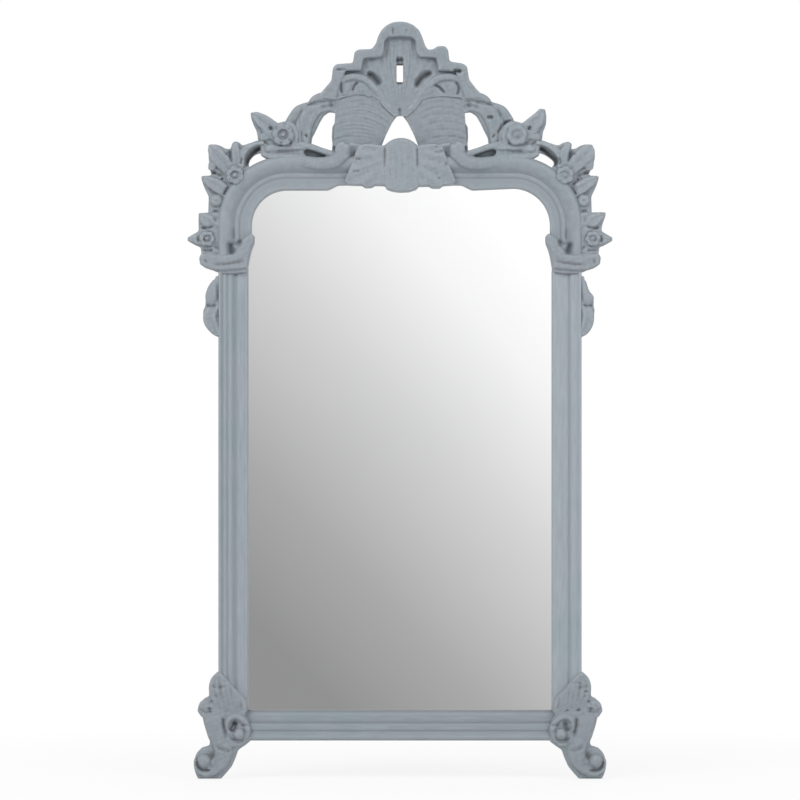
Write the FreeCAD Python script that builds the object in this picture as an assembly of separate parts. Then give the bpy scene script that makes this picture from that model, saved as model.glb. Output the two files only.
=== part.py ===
import FreeCAD
import Part
import math
import os
from FreeCAD import Vector

# A carved wall mirror. X runs to the right, Y into the wall and Z up, all in millimetres.
# The wall is the plane Y = 0. The origin is on it, at the middle of the felt pad behind the
# centre of the bottom rail, so the feet reach below Z = 0 and the mirror is centred on X = 0.
# A height is measured forward from the back face of the frame.

# Frame
overall_height = 1200.0
sight_width = 482.0
crest_height = 216.0
foot_drop = 60.0
moulding_width = 47.0
moulding_depth = 32.0
arch_width = 54.0
arch_sight_radius = 56.0
arch_step = 5.5
sight_rise = 8.0
sight_rise_run = 22.0
joint_drop = 72.0
wall_gap = 8.0

# Rebate, glass and back
rebate_width = 10.0
rebate_depth = 6.0
glass_thickness = 4.0
glass_play = 2.0
board_thickness = 3.0
board_lap = 12.0
front_play = 1.0

# Carving: heights of its parts above the back of the frame
ground_height = 12.0
lobe_height = 27.0
rim_height = 34.0
plume_height = 26.0
wing_height = 25.0
leaf_height = 28.0
scroll_height = 42.0
valance_height = 43.0
spray_height = 35.0
flower_height = 37.0
collar_height = 36.0
drop_height = 35.0
corner_height = 38.0
foot_height = 44.0
carving_back = 2.0

# Carving: sizes across the front
crest_side_gap = 3.5
crest_overlap = 3.0
valance_length = 83.0
valance_drop = 2.5
rosette_radius = 17.0
flower_radius = 13.0
petal_radius = 4.2
petal_inset = 0.7
heart_radius = 4.0
petal_count = 8
drop_leaf_length = 97.0
rib_radius = 4.0
rib_tip_radius = 2.0
flute_radius = 4.4
flute_tip_radius = 2.2
eye_radius = 8.0
ball_radius = 8.0
foot_ball_radius = 12.0

# Hardware
board_screw_length = 12.0
board_screw_spacing = 150.0
screw_radius = 1.5
screw_head_radius = 3.0
screw_head_height = 1.8
screw_slot_width = 0.8
screw_slot_depth = 0.8
pilot_play = 0.05
pilot_extra = 2.5
hole_play = 0.3
dowel_radius = 4.0
dowel_length = 36.0
mitre_dowel_length = 26.0
dowel_play = 0.1
dowel_height = 9.5
strap_width = 16.0
strap_thickness = 3.0
strap_board_gap = 3.5
strap_centre_x = 63.5
strap_screw_length = 11.0
strap_end_margin = 7.0
hanger_drop = 25.0
hanger_plate_width = 13.0
hanger_plate_thickness = 1.2
hanger_plate_length = 46.0
hanger_screw_drop = 24.0
hanger_screw_spacing = 14.0
hanger_screw_length = 14.0
ring_wire_radius = 1.75
ring_play = 0.1
ring_side_play = 0.55
ring_leg_length = 4.0
bumper_radius = 10.0
bumper_drop = 7.0
overrun = 5.0

# Half of the raised middle of the sight edge, as a share of the distance to the arch centres
sight_rise_share = 0.652
# Half width of the valance, as a share of the half width of the crest
valance_width_share = 0.449
# Upper end of the crest straps, as a share of the height of the crest
strap_top_share = 0.602
# Lower edge of the collars, as a share of the outer radius of the arch
collar_bottom_share = 0.72

# Screws in each crest strap
strap_arch_screws = 2
strap_crest_screws = 4

# Worked out from the above
back_y = -wall_gap
sight_half = sight_width / 2
frame_half = sight_half + moulding_width
free_strip_width = moulding_width - rebate_width - board_lap
frame_lower_z = -free_strip_width / 2
foot_z = frame_lower_z - foot_drop
sight_bottom_z = frame_lower_z + moulding_width
crest_z = foot_z + overall_height - crest_height
arch_top_z = crest_z + crest_overlap
sight_top_z = arch_top_z - arch_width
arch_sight_half = sight_half - arch_step
arch_centre_x = arch_sight_half - arch_sight_radius
arch_centre_z = sight_top_z - arch_sight_radius
arch_outer_radius = arch_sight_radius + arch_width
joint_z = arch_centre_z - joint_drop
sight_rise_half = sight_rise_share * arch_centre_x
arch_rebate_width = rebate_width + arch_step
packing_thickness = rebate_depth - glass_thickness
crest_half_width = arch_centre_x - crest_side_gap
valance_half_width = valance_width_share * crest_half_width
front_back = rebate_depth + front_play
board_half = frame_half - free_strip_width
strap_bottom_z = arch_centre_z + board_half - arch_centre_x + strap_board_gap
strap_top_z = crest_z + strap_top_share * crest_height
hanger_x = frame_half - free_strip_width / 2
ring_half_width = free_strip_width / 2 - ring_wire_radius - ring_side_play
hanger_z = joint_z - hanger_drop
ring_loop_radius = ring_wire_radius + ring_play + hanger_plate_thickness
ring_y = back_y + ring_loop_radius
collar_bottom_z = arch_centre_z - collar_bottom_share * arch_outer_radius

# Section of the mouldings, from the sight edge outward: shares of the width and of the depth
moulding_shares = [
    (0, 0.5), (0.05, 0.62), (0.28, 0.69), (0.3, 0.58), (0.37, 0.58),
    (0.47, 0.81, "arc"), (0.58, 0.69), (0.7, 0.69), (0.84, 1, "arc"), (1, 0.84)]

# Outlines: shares of each drawing's width and height, with "arc" at the middle of a round stretch
board_left_shares = [
    (0, 0.97), (-0.135, 0.935, "arc"), (-0.205, 0.825), (-0.225, 0.75), (-0.38, 0.76),
    (-0.395, 0.655), (-0.555, 0.67), (-0.575, 0.575), (-0.66, 0.45), (-0.775, 0.41),
    (-0.875, 0.375), (-0.955, 0.265), (-1, 0.22), (-1.125, 0.205), (-1.155, 0)]
rim_outer_left_shares = [
    (-0.675, 0.48), (-0.605, 0.575), (-0.575, 0.69), (-0.415, 0.675), (-0.395, 0.795),
    (-0.245, 0.78), (-0.22, 0.825), (-0.16, 0.95, "arc"), (0, 1)]
rim_inner_left_shares = [
    (0, 0.935), (-0.11, 0.89, "arc"), (-0.155, 0.795), (-0.19, 0.72), (-0.335, 0.735),
    (-0.345, 0.62), (-0.505, 0.63), (-0.53, 0.535), (-0.585, 0.44)]
rim_outer_right_shares = [
    (0.16, 0.95, "arc"), (0.22, 0.83), (0.25, 0.795), (0.305, 0.8), (0.36, 0.825),
    (0.43, 0.81), (0.44, 0.69), (0.595, 0.69), (0.615, 0.58), (0.675, 0.5)]
rim_inner_right_shares = [
    (0.605, 0.465), (0.54, 0.55), (0.525, 0.64), (0.37, 0.64), (0.325, 0.745),
    (0.19, 0.735), (0.145, 0.795), (0.1, 0.89, "arc")]
lobe_left_shares = [
    (-0.615, 0.49), (-0.555, 0.6), (-0.475, 0.6), (-0.43, 0.58), (-0.39, 0.65), (-0.36, 0.66),
    (-0.3, 0.62), (-0.25, 0.545), (-0.205, 0.44), (-0.25, 0.48), (-0.395, 0.485), (-0.53, 0.455)]
lobe_eye_shares = [(-0.47, 0.545), (0.47, 0.545)]
plume_left_shares = [
    (0, 0.33), (-0.07, 0.395), (-0.12, 0.485), (-0.155, 0.59), (-0.17, 0.675),
    (-0.125, 0.72), (0, 0.745)]
plume_rib_tip_shares = [(-0.12, 0.66), (-0.07, 0.7), (0.07, 0.7), (0.12, 0.66)]
plume_rib_root_share = (0, 0.36)
slot_shares = [(-0.031, 0.56), (0.031, 0.56), (0.031, 0.685), (-0.031, 0.685)]
triangle_left_shares = [(0, 0.34), (-0.155, 0.175), (-0.19, 0.08), (0, 0.08)]
side_hole_shares = [
    (-0.615, 0.355), (-0.565, 0.33), (-0.6, 0.2), (-0.615, 0.045), (-0.795, 0.09),
    (-0.82, 0.14), (-0.755, 0.235), (-0.695, 0.325)]
wing_shares = [
    (-0.53, 0.455), (-0.395, 0.485), (-0.25, 0.48), (-0.155, 0.425), (-0.08, 0.33),
    (-0.145, 0.205), (-0.175, 0.095), (-0.305, 0.105), (-0.515, 0.125), (-0.595, 0.075),
    (-0.605, 0.2), (-0.57, 0.33), (-0.56, 0.435)]
wing_root_shares = [(-0.13, 0.4), (-0.185, 0.14)]
wing_tip_shares = [(-0.52, 0.42), (-0.575, 0.14)]
wing_flutes = 7
leaf_shares = [
    (-0.675, 0.48), (-0.795, 0.44), (-0.9, 0.405), (-0.98, 0.3), (-1.01, 0.265),
    (-0.965, 0.2), (-0.955, 0.09), (-0.81, 0.09), (-0.82, 0.14), (-0.755, 0.235),
    (-0.695, 0.325), (-0.615, 0.355), (-0.57, 0.435), (-0.595, 0.465)]
leaf_spine_shares = [(-0.625, 0.43), (-0.76, 0.37), (-0.875, 0.265), (-0.895, 0.12)]
scroll_shares = [
    (-0.955, 0.09), (-0.8, 0.09), (-0.72, 0.065), (-0.605, 0.035), (-0.585, 0.105),
    (-0.515, 0.13, "arc"), (-0.44, 0.105), (-0.425, 0.045), (-0.46, -0.02), (-0.56, -0.06),
    (-0.74, -0.035), (-0.935, 0)]
scroll_eye_share = (-0.515, 0.05)
scroll_spine_shares = [(-0.9, 0.045), (-0.72, 0.01), (-0.57, 0)]
valance_left_shares = [
    (0, 1), (-0.2, 0.96, "arc"), (-0.34, 0.885), (-0.68, 0.935), (-0.84, 0.905),
    (-0.93, 0.77), (-0.86, 0.615), (-1, 0.46), (-0.96, 0.23), (-0.68, 0.095),
    (-0.58, 0.155), (-0.32, 0.145), (-0.26, 0.06), (0, 0)]
valance_rib_shares = [
    ((-0.18, 0.85), (-0.18, 0.1)), ((0, 0.9), (0, 0.06)), ((0.18, 0.85), (0.18, 0.1)),
    ((-0.5, 0.8), (-0.62, 0.2)), ((-0.74, 0.8), (-0.85, 0.3)),
    ((0.5, 0.8), (0.62, 0.2)), ((0.74, 0.8), (0.85, 0.3))]
rosette_share = (-0.06, 1.33)
rosette_leaf_shares = [
    (-0.145, 1.515), (-0.33, 1.61), (-0.505, 1.615), (-0.46, 1.43), (-0.405, 1.24),
    (-0.36, 1.055), (-0.175, 0.995), (0.13, 0.98), (0.115, 1.155), (0.085, 1.37), (0.015, 1.5)]
rosette_leaf_rib_shares = [
    ((-0.2, 1.44), (-0.43, 1.56)), ((-0.23, 1.3), (-0.36, 1.14)), ((-0.1, 1.14), (-0.1, 1.04))]
spray_shares = [
    (-0.405, 1.24), (-0.535, 1.21), (-0.65, 1.155), (-0.695, 1.21), (-0.78, 1.21),
    (-0.81, 1.125), (-0.94, 1.11), (-0.995, 1.155), (-1.125, 1.17), (-1.135, 0.81),
    (-1.08, 0.72), (-1.21, 0.705), (-1.22, 0.635), (-1.135, 0.475), (-1.135, 0.19),
    (-0.875, 0.19), (-0.685, 0.575, "arc"), (-0.42, 0.795), (-0.55, 0.825), (-0.565, 0.88),
    (-0.445, 1.025), (-0.36, 1.055)]
shoulder_flower_share = (-0.75, 0.735)
spray_rib_shares = [
    ((-0.68, 0.85), (-0.62, 1.12)), ((-0.79, 0.85), (-0.87, 1.06)), ((-0.85, 0.82), (-1.06, 1.09)),
    ((-0.88, 0.72), (-1.08, 0.88)), ((-0.87, 0.65), (-1.14, 0.64)), ((-0.87, 0.58), (-1.07, 0.42)),
    ((-0.9, 0.5), (-1.03, 0.24))]
side_spray_shares = [
    (-1.135, 0.19), (-1.27, 0.175), (-1.275, -0.07), (-1.37, -0.1), (-1.43, -0.195),
    (-1.355, -0.275), (-1.255, -0.305), (-1.225, -0.42), (-0.85, -0.42), (-0.895, -0.115, "arc"),
    (-0.875, 0.19)]
side_flower_share = (-1.155, -0.19)
side_rib_shares = [
    ((-1.08, -0.05), (-1.18, 0.11)), ((-1.28, -0.19), (-1.39, -0.19)),
    ((-1.08, -0.3), (-1.18, -0.37)), ((-0.98, -0.35), (-0.96, 0.1))]
collar_shares = [
    (-1.225, -0.42), (-1.27, -0.475), (-1.27, -0.565), (-1.21, -0.62), (-1.055, -0.655),
    (-1.055, -collar_bottom_share), (-0.565, -collar_bottom_share), (-0.505, -0.375),
    (-0.47, -0.23, "arc"), (-0.505, -0.085),
    (-0.62, -0.06), (-0.735, -0.2), (-0.85, -0.42)]
collar_rib_shares = [
    ((-1.21, -0.52), (-0.6, -0.52)), ((-0.7, -0.38), (-0.58, -0.15)), ((-1.02, -0.69), (-0.6, -0.685))]
drop_leaf_shares = [
    (-0.06, 0), (-0.06, -0.08), (-0.175, -0.245), (-0.19, -0.49), (-0.225, -0.575),
    (-0.225, -0.74), (-0.145, -0.86), (0.005, -1), (0.105, -1.035), (0.17, -0.8), (0.17, 0)]
drop_rib_shares = [
    ((0, -0.08), (-0.1, -0.4)), ((-0.1, -0.48), (-0.15, -0.7)), ((0, -0.5), (0.03, -0.92)),
    ((0.1, -0.1), (0.09, -0.7))]
corner_shares = [
    (0.01, 1.805), (-0.15, 1.67), (-0.23, 1.33), (-0.205, 1.145), (-0.47, 0.985),
    (-0.535, 0.8, "arc"), (-0.39, 0.615), (0.195, 0.585), (0.615, 0.64), (0.775, 0.905),
    (0.75, 1.33), (0.59, 1.595), (0.325, 1.725)]
corner_rib_shares = [
    ((0.35, 0.75), (0.12, 1.65)), ((0.22, 0.72), (-0.1, 1.3)), ((0.5, 0.75), (0.6, 1.35)),
    ((0.05, 0.72), (-0.36, 0.82))]
foot_shares = [
    (-0.39, 0.615), (-0.31, 0.215), (-0.205, -0.05), (-0.47, -0.235), (-0.625, -0.605, "arc"),
    (-0.495, -1), (0.06, -1), (0.325, -0.735), (0.485, -0.39), (0.645, -0.205),
    (0.855, -0.02), (0.88, 0.27), (0.615, 0.64), (0.195, 0.585)]
foot_ball_share = (-0.3, -0.5)
foot_eye_share = (0.575, 0.2)
foot_rib_shares = [
    ((-0.2, 0.5), (-0.08, -0.05)), ((0.05, 0.5), (0.1, -0.1)), ((0.2, -0.1), (0.1, -0.85)),
    ((0.3, 0.5), (0.35, -0.3))]


def placed_y(height):
    # depth coordinate of a height above the back of the frame
    return back_y - height


def flat_face(points, height):
    # face across the front from (x, z) points; a third entry marks the middle of an arc
    corners = [Vector(point[0], placed_y(height), point[1]) for point in points]
    return face_of(corners, [len(point) == 3 for point in points])


def face_of(corners, on_arc):
    edges = []
    count = len(corners)
    for number in range(count):
        if on_arc[number]:
            continue
        after = (number + 1) % count
        if on_arc[after]:
            end = (number + 2) % count
            edges.append(Part.Arc(corners[number], corners[after], corners[end]).toShape())
        else:
            edges.append(Part.makeLine(corners[number], corners[after]))
    return Part.Face(Part.Wire(edges))


def mirrored_shares(shares):
    # closes the left half of an outline, listed from top centre to bottom centre, with its right half
    right = [(-share[0],) + tuple(share[1:]) for share in shares[1:-1]]
    return shares + right[::-1]


class Drawing:
    # places shares of a width and a height about an anchor on the front of the mirror

    def __init__(self, x, z, width, height):
        self.x = x
        self.z = z
        self.width = width
        self.height = height

    def point(self, share, height):
        x = self.x + share[0] * self.width
        z = self.z + share[1] * self.height
        return Vector(x, placed_y(height), z)

    def slab(self, shares, back, front):
        corners = [self.point(share, back) for share in shares]
        face = face_of(corners, [len(share) == 3 for share in shares])
        return face.extrude(Vector(0, back - front, 0))

    def rib(self, start, end, height, start_radius, end_radius):
        return taper(self.point(start, height), self.point(end, height), start_radius, end_radius)

    def ribs(self, rows, height):
        return [self.rib(start, end, height, rib_radius, rib_tip_radius) for start, end in rows]

    def ball(self, share, height, radius):
        return Part.makeSphere(radius, self.point(share, height))


crest = Drawing(0, crest_z, crest_half_width, crest_height)
valance = Drawing(0, sight_top_z - valance_drop, valance_half_width, valance_length)
shoulder = Drawing(-arch_centre_x, arch_centre_z, arch_outer_radius, arch_outer_radius)
upper_stile = Drawing(-frame_half, collar_bottom_z, drop_leaf_length, drop_leaf_length)
corner = Drawing(-frame_half, frame_lower_z, foot_drop, foot_drop)


def taper(start, end, start_radius, end_radius):
    # round bar between two points, thinner toward its end
    along = end.sub(start)
    return Part.makeCone(start_radius, end_radius, along.Length, start, along)


def joined(shapes):
    # one solid from shapes that meet
    return shapes[0].multiFuse(shapes[1:]).removeSplitter()


def largest_solid(shape):
    return max(shape.Solids, key=lambda solid: solid.Volume)


def flipped(shape):
    # the same piece on the right side
    return shape.mirror(Vector(0, 0, 0), Vector(1, 0, 0))


pieces = {}


def trimmed(shape):
    # cuts a carving where it would enter what is already in place
    for other in pieces.values():
        if other.BoundBox.intersect(shape.BoundBox):
            shape = shape.cut(other)
    return largest_solid(shape)


def add(name, shape):
    pieces[name] = shape


def add_carving(name, shape):
    add(name, trimmed(shape))


def add_carving_pair(name, shape):
    add_carving(name + "_left", shape)
    add_carving(name + "_right", flipped(shape))


def moulding_face(sight_point, outward, width, rebate):
    # section of a moulding at a point of the sight edge, with its rebate at the back
    rows = [(share[0] * width, share[1] * moulding_depth) + tuple(share[2:]) for share in moulding_shares]
    rows = [(0, rebate_depth)] + rows + [(width, 0), (rebate, 0), (rebate, rebate_depth)]
    corners = [sight_point + outward * row[0] + Vector(0, placed_y(row[1]), 0) for row in rows]
    return face_of(corners, [len(row) == 3 for row in rows])


def screw_hole(x, z, seat_y, length):
    # pilot hole from a seat forward into the wood
    radius = screw_radius + pilot_play
    top = Vector(x, seat_y, z)
    return Part.makeCylinder(radius, length + pilot_extra, top, Vector(0, -1, 0))


def clearance_hole(x, z, y, thickness):
    start = Vector(x, y - overrun, z)
    return Part.makeCylinder(screw_radius + hole_play, thickness + 2 * overrun, start, Vector(0, 1, 0))


def screw(x, z, seat_y, length):
    # slotted pan head screw, with its head on the wall side
    shank = Part.makeCylinder(screw_radius, length, Vector(x, seat_y, z), Vector(0, -1, 0))
    head = Part.makeCylinder(screw_head_radius, screw_head_height, Vector(x, seat_y, z), Vector(0, 1, 0))
    slot_corner = Vector(x - screw_head_radius, seat_y + screw_head_height - screw_slot_depth,
                         z - screw_slot_width / 2)
    slot = Part.makeBox(2 * screw_head_radius, screw_slot_depth, screw_slot_width, slot_corner)
    return head.fuse(shank).cut(slot)


def spread(first, last, gaps):
    # even places from first to last
    return [first + (last - first) * step / gaps for step in range(gaps + 1)]


def spaced(first, last, spacing):
    # even places from first to last, no further apart than the spacing
    return spread(first, last, max(1, math.ceil(abs(last - first) / spacing)))


def arched_plate(half_width, bottom_z, radius, thickness, back_height):
    # flat sheet with round top corners about the centres of the arch
    top_z = arch_centre_z + radius
    turn = radius * math.sqrt(0.5)
    points = [
        (-half_width, bottom_z), (half_width, bottom_z), (half_width, arch_centre_z),
        (arch_centre_x + turn, arch_centre_z + turn, "arc"), (arch_centre_x, top_z),
        (-arch_centre_x, top_z), (-arch_centre_x - turn, arch_centre_z + turn, "arc"),
        (-half_width, arch_centre_z)]
    return flat_face(points, back_height).extrude(Vector(0, -thickness, 0))


def board_screw_places():
    # places around the edge of the backing board, half way over its lap on the wood
    edge = board_half - board_lap / 2
    low = sight_bottom_z - rebate_width - board_lap / 2
    high = arch_centre_z + edge - arch_centre_x
    sides = spaced(low, arch_centre_z, board_screw_spacing)
    rows = [(side * edge, z) for side in (-1, 1) for z in sides]
    rows += [(x, low) for x in spaced(-edge, edge, board_screw_spacing)[1:-1]]
    rows += [(x, high) for x in spaced(-arch_centre_x, arch_centre_x, board_screw_spacing)]
    return rows


def strap_screw_places():
    # the lower screws of each strap are in the arch and the upper ones in the crest board
    low = strap_bottom_z + strap_end_margin
    high = strap_top_z - strap_end_margin
    in_arch = spread(low, arch_top_z - strap_end_margin, strap_arch_screws - 1)
    in_crest = spread(crest_z + 3 * strap_end_margin, high, strap_crest_screws - 1)
    return [(side * strap_centre_x, z) for side in (-1, 1) for z in in_arch + in_crest]


def hanger_screw_places():
    rows = [hanger_z - hanger_screw_drop, hanger_z - hanger_screw_drop - hanger_screw_spacing]
    return [(side * hanger_x, z) for side in (-1, 1) for z in rows]


def dowel(centre, along, length, radius):
    start = centre.sub(along * (length / 2))
    return Part.makeCylinder(radius, length, start, along)


def dowels(play):
    # pairs in the stile to arch joints and the centre joint, and one across each mitre
    radius = dowel_radius + play
    y = placed_y(dowel_height)
    side_x = sight_half + rebate_width + dowel_radius * 2
    outer_x = min(frame_half, arch_centre_x + arch_outer_radius) - dowel_radius * 2
    top_low = sight_top_z + arch_rebate_width + dowel_radius * 2
    top_high = arch_top_z - dowel_radius * 2
    mitre_x = frame_half - moulding_width / 3
    mitre_z = frame_lower_z + moulding_width / 3
    shapes = []
    for side in (-1, 1):
        for x in (side_x, outer_x):
            shapes.append(dowel(Vector(side * x, y, joint_z), Vector(0, 0, 1), dowel_length + play, radius))
        across = Vector(side, 0, 1).normalize()
        centre = Vector(side * mitre_x, y, mitre_z)
        shapes.append(dowel(centre, across, mitre_dowel_length + play, radius))
    for z in (top_low, top_high):
        shapes.append(dowel(Vector(0, y, z), Vector(1, 0, 0), dowel_length + play, radius))
    return shapes


def bored(shape, holes):
    near = [hole for hole in holes if hole.BoundBox.intersect(shape.BoundBox)]
    return shape.cut(near) if near else shape


def wood_holes():
    # every pilot and dowel hole in the frame and in the crest board
    holes = dowels(dowel_play)
    holes += [screw_hole(x, z, back_y, board_screw_length) for x, z in board_screw_places()]
    holes += [screw_hole(x, z, back_y, strap_screw_length - strap_thickness)
              for x, z in strap_screw_places()]
    holes += [screw_hole(x, z, back_y, hanger_screw_length) for x, z in hanger_screw_places()]
    return holes


def left_stile():
    start = Vector(-sight_half, 0, frame_lower_z)
    section = moulding_face(start, Vector(-1, 0, 0), moulding_width, rebate_width)
    member = section.extrude(Vector(0, 0, joint_z - frame_lower_z))
    return member.cut(mitre_wedge(-1))


def mitre_wedge(side):
    # everything below the mitre line of one lower corner
    inner_x = side * (sight_half - overrun)
    outer_x = side * (frame_half + overrun)
    points = [(inner_x, sight_bottom_z + overrun), (outer_x, frame_lower_z - overrun),
              (inner_x, frame_lower_z - overrun)]
    return flat_face(points, -overrun).extrude(Vector(0, -moulding_depth - 2 * overrun, 0))


def bottom_rail():
    start = Vector(-frame_half, 0, sight_bottom_z)
    section = moulding_face(start, Vector(0, 0, -1), moulding_width, rebate_width)
    member = section.extrude(Vector(2 * frame_half, 0, 0))
    return member.cut(mitre_corner(-1)).cut(mitre_corner(1))


def mitre_corner(side):
    # everything beyond the mitre line of one lower corner
    inner_x = side * (sight_half - overrun)
    outer_x = side * (frame_half + overrun)
    points = [(inner_x, sight_bottom_z + overrun), (outer_x, frame_lower_z - overrun),
              (outer_x, sight_bottom_z + overrun)]
    return flat_face(points, -overrun).extrude(Vector(0, -moulding_depth - 2 * overrun, 0))


def left_arch():
    top = moulding_face(Vector(0, 0, sight_top_z), Vector(0, 0, 1), arch_width, arch_rebate_width)
    run = top.extrude(Vector(-arch_centre_x, 0, 0))
    turn_start = moulding_face(Vector(-arch_centre_x, 0, sight_top_z), Vector(0, 0, 1), arch_width,
                               arch_rebate_width)
    turn = turn_start.revolve(Vector(-arch_centre_x, 0, arch_centre_z), Vector(0, -1, 0), 90)
    leg_start = moulding_face(Vector(-arch_sight_half, 0, joint_z), Vector(-1, 0, 0), arch_width,
                              arch_rebate_width)
    leg = leg_start.extrude(Vector(0, 0, joint_drop))
    return joined([run, turn, leg]).cut(sight_rise_wedge())


def sight_rise_wedge():
    # the sight edge steps up a little in the middle of the arch
    low = sight_top_z - overrun
    inner_x = sight_rise_run - sight_rise_half
    points = [(0, low), (-sight_rise_half, low), (-sight_rise_half, sight_top_z),
              (inner_x, sight_top_z + sight_rise), (0, sight_top_z + sight_rise)]
    return flat_face(points, -overrun).extrude(Vector(0, -moulding_depth - 2 * overrun, 0))


def crest_openings():
    # slot, centre triangle and the two side holes, right through the crest
    front = rim_height + moulding_depth
    triangle = crest.slab(mirrored_shares(triangle_left_shares), -overrun, front)
    hole = crest.slab(side_hole_shares, -overrun, front)
    return [triangle, hole, flipped(hole), crest.slab(slot_shares, -overrun, front)]


def crest_board():
    return crest.slab(mirrored_shares(board_left_shares + [(0, 0)]), 0, ground_height)


def crest_cartouche():
    rim_shares = (rim_outer_left_shares + rim_outer_right_shares
                  + rim_inner_right_shares + rim_inner_left_shares)
    rim = crest.slab(rim_shares, ground_height, rim_height)
    left_lobe = crest.slab(lobe_left_shares, ground_height, lobe_height)
    eyes = [crest.ball(share, lobe_height, eye_radius) for share in lobe_eye_shares]
    return joined([rim, left_lobe, flipped(left_lobe)] + eyes)


def crest_plume():
    body = crest.slab(mirrored_shares(plume_left_shares), ground_height, plume_height)
    ribs = [crest.rib(tip, plume_rib_root_share, plume_height, flute_radius, rib_tip_radius)
            for tip in plume_rib_tip_shares]
    return joined([body] + ribs)


def shell_wing():
    body = crest.slab(wing_shares, ground_height, wing_height)
    ribs = []
    for flute in range(wing_flutes):
        share = flute / (wing_flutes - 1)
        root = between(wing_root_shares, share)
        tip = between(wing_tip_shares, share)
        ribs.append(crest.rib(tip, root, wing_height, flute_radius, flute_tip_radius))
    return joined([body] + ribs)


def between(ends, share):
    return tuple(first + (last - first) * share for first, last in zip(*ends))


def crest_leaf():
    body = crest.slab(leaf_shares, ground_height, leaf_height)
    pairs = list(zip(leaf_spine_shares, leaf_spine_shares[1:]))
    return joined([body] + crest.ribs(pairs, leaf_height))


def arch_scroll():
    body = crest.slab(scroll_shares, ground_height, scroll_height)
    eye = crest.ball(scroll_eye_share, scroll_height, eye_radius)
    pairs = list(zip(scroll_spine_shares, scroll_spine_shares[1:]))
    return joined([body, eye] + crest.ribs(pairs, scroll_height))


def centre_valance():
    body = valance.slab(mirrored_shares(valance_left_shares), front_back, valance_height)
    return joined([body] + valance.ribs(valance_rib_shares, valance_height))


def flower(place, back, front, radius):
    # disc with a ring of petals and a heart
    centre = shoulder.point(place, back)
    disc = Part.makeCylinder(radius, front - back, centre, Vector(0, -1, 0))
    heart = shoulder.ball(place, front, heart_radius)
    reach = radius - petal_radius - petal_inset
    petals = []
    for number in range(petal_count):
        turn = 2 * math.pi * number / petal_count
        offset = Vector(reach * math.cos(turn), back - front, reach * math.sin(turn))
        petals.append(Part.makeSphere(petal_radius, centre.add(offset)))
    return joined([disc, heart] + petals)


def rosette_leaf():
    body = shoulder.slab(rosette_leaf_shares, carving_back, spray_height)
    return joined([body] + shoulder.ribs(rosette_leaf_rib_shares, spray_height))


def shoulder_spray():
    body = shoulder.slab(spray_shares, carving_back, spray_height)
    return joined([body] + shoulder.ribs(spray_rib_shares, spray_height))


def side_spray():
    body = shoulder.slab(side_spray_shares, carving_back, spray_height)
    return joined([body] + shoulder.ribs(side_rib_shares, spray_height))


def collar():
    body = shoulder.slab(collar_shares, front_back, collar_height)
    return joined([body] + shoulder.ribs(collar_rib_shares, collar_height))


def drop_leaf():
    body = upper_stile.slab(drop_leaf_shares, carving_back, drop_height)
    return joined([body] + upper_stile.ribs(drop_rib_shares, drop_height))


def corner_leaf():
    body = corner.slab(corner_shares, front_back, corner_height)
    return joined([body] + corner.ribs(corner_rib_shares, corner_height))


def scroll_foot():
    body = corner.slab(foot_shares, front_back, foot_height)
    ball = corner.ball(foot_ball_share, foot_height - foot_ball_radius / 2, foot_ball_radius)
    eye = corner.ball(foot_eye_share, foot_height, ball_radius)
    return joined([body, ball, eye] + corner.ribs(foot_rib_shares, foot_height))


def crest_strap(side):
    corner_point = Vector(side * strap_centre_x - strap_width / 2, back_y, strap_bottom_z)
    strap = Part.makeBox(strap_width, strap_thickness, strap_top_z - strap_bottom_z, corner_point)
    holes = [clearance_hole(x, z, back_y, strap_thickness) for x, z in strap_screw_places()]
    return bored(strap, holes)


def hanger_strap(side):
    # plate with a curl at its top for the bar of the ring
    x = side * hanger_x - hanger_plate_width / 2
    along = Vector(1, 0, 0)
    curl = Part.makeCylinder(ring_loop_radius, hanger_plate_width, Vector(x, ring_y, hanger_z), along)
    bore_radius = ring_wire_radius + ring_play
    bore = Part.makeCylinder(bore_radius, hanger_plate_width, Vector(x, ring_y, hanger_z), along)
    plate_corner = Vector(x, back_y, hanger_z - hanger_plate_length)
    plate = Part.makeBox(hanger_plate_width, hanger_plate_thickness, hanger_plate_length, plate_corner)
    holes = [clearance_hole(hole_x, z, back_y, hanger_plate_thickness)
             for hole_x, z in hanger_screw_places()]
    return bored(curl.fuse(plate).cut(bore), holes)


def hanger_ring(side):
    # D ring: a straight bar through the curl, two legs and a half round, hanging down
    x = side * hanger_x
    left = Vector(x - ring_half_width, ring_y, hanger_z)
    right = Vector(x + ring_half_width, ring_y, hanger_z)
    low_left = Vector(left.x, ring_y, hanger_z - ring_leg_length)
    low_right = Vector(right.x, ring_y, low_left.z)
    lowest = Vector(x, ring_y, low_left.z - ring_half_width)
    bar = Part.makeCylinder(ring_wire_radius, 2 * ring_half_width, left, Vector(1, 0, 0))
    path = Part.Wire([
        Part.makeLine(left, low_left), Part.Arc(low_left, lowest, low_right).toShape(),
        Part.makeLine(low_right, right)])
    section = Part.Wire(Part.makeCircle(ring_wire_radius, left, Vector(0, 0, -1)))
    bow = path.makePipeShell([section], True, True)
    corners = [Part.makeSphere(ring_wire_radius, point) for point in (left, right)]
    return joined([bar, bow] + corners)


def bumper_places():
    # one behind the centre of the bottom rail, two on the stiles and two on the round shoulders
    stile_x = frame_half - free_strip_width / 2
    board_radius = board_half - arch_centre_x
    turn = (board_radius + arch_outer_radius) / 2 * math.sqrt(0.5)
    rows = [(0, 0)]
    for side in (-1, 1):
        rows.append((side * stile_x, sight_bottom_z - bumper_drop))
        rows.append((side * (arch_centre_x + turn), arch_centre_z + turn))
    return rows


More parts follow.
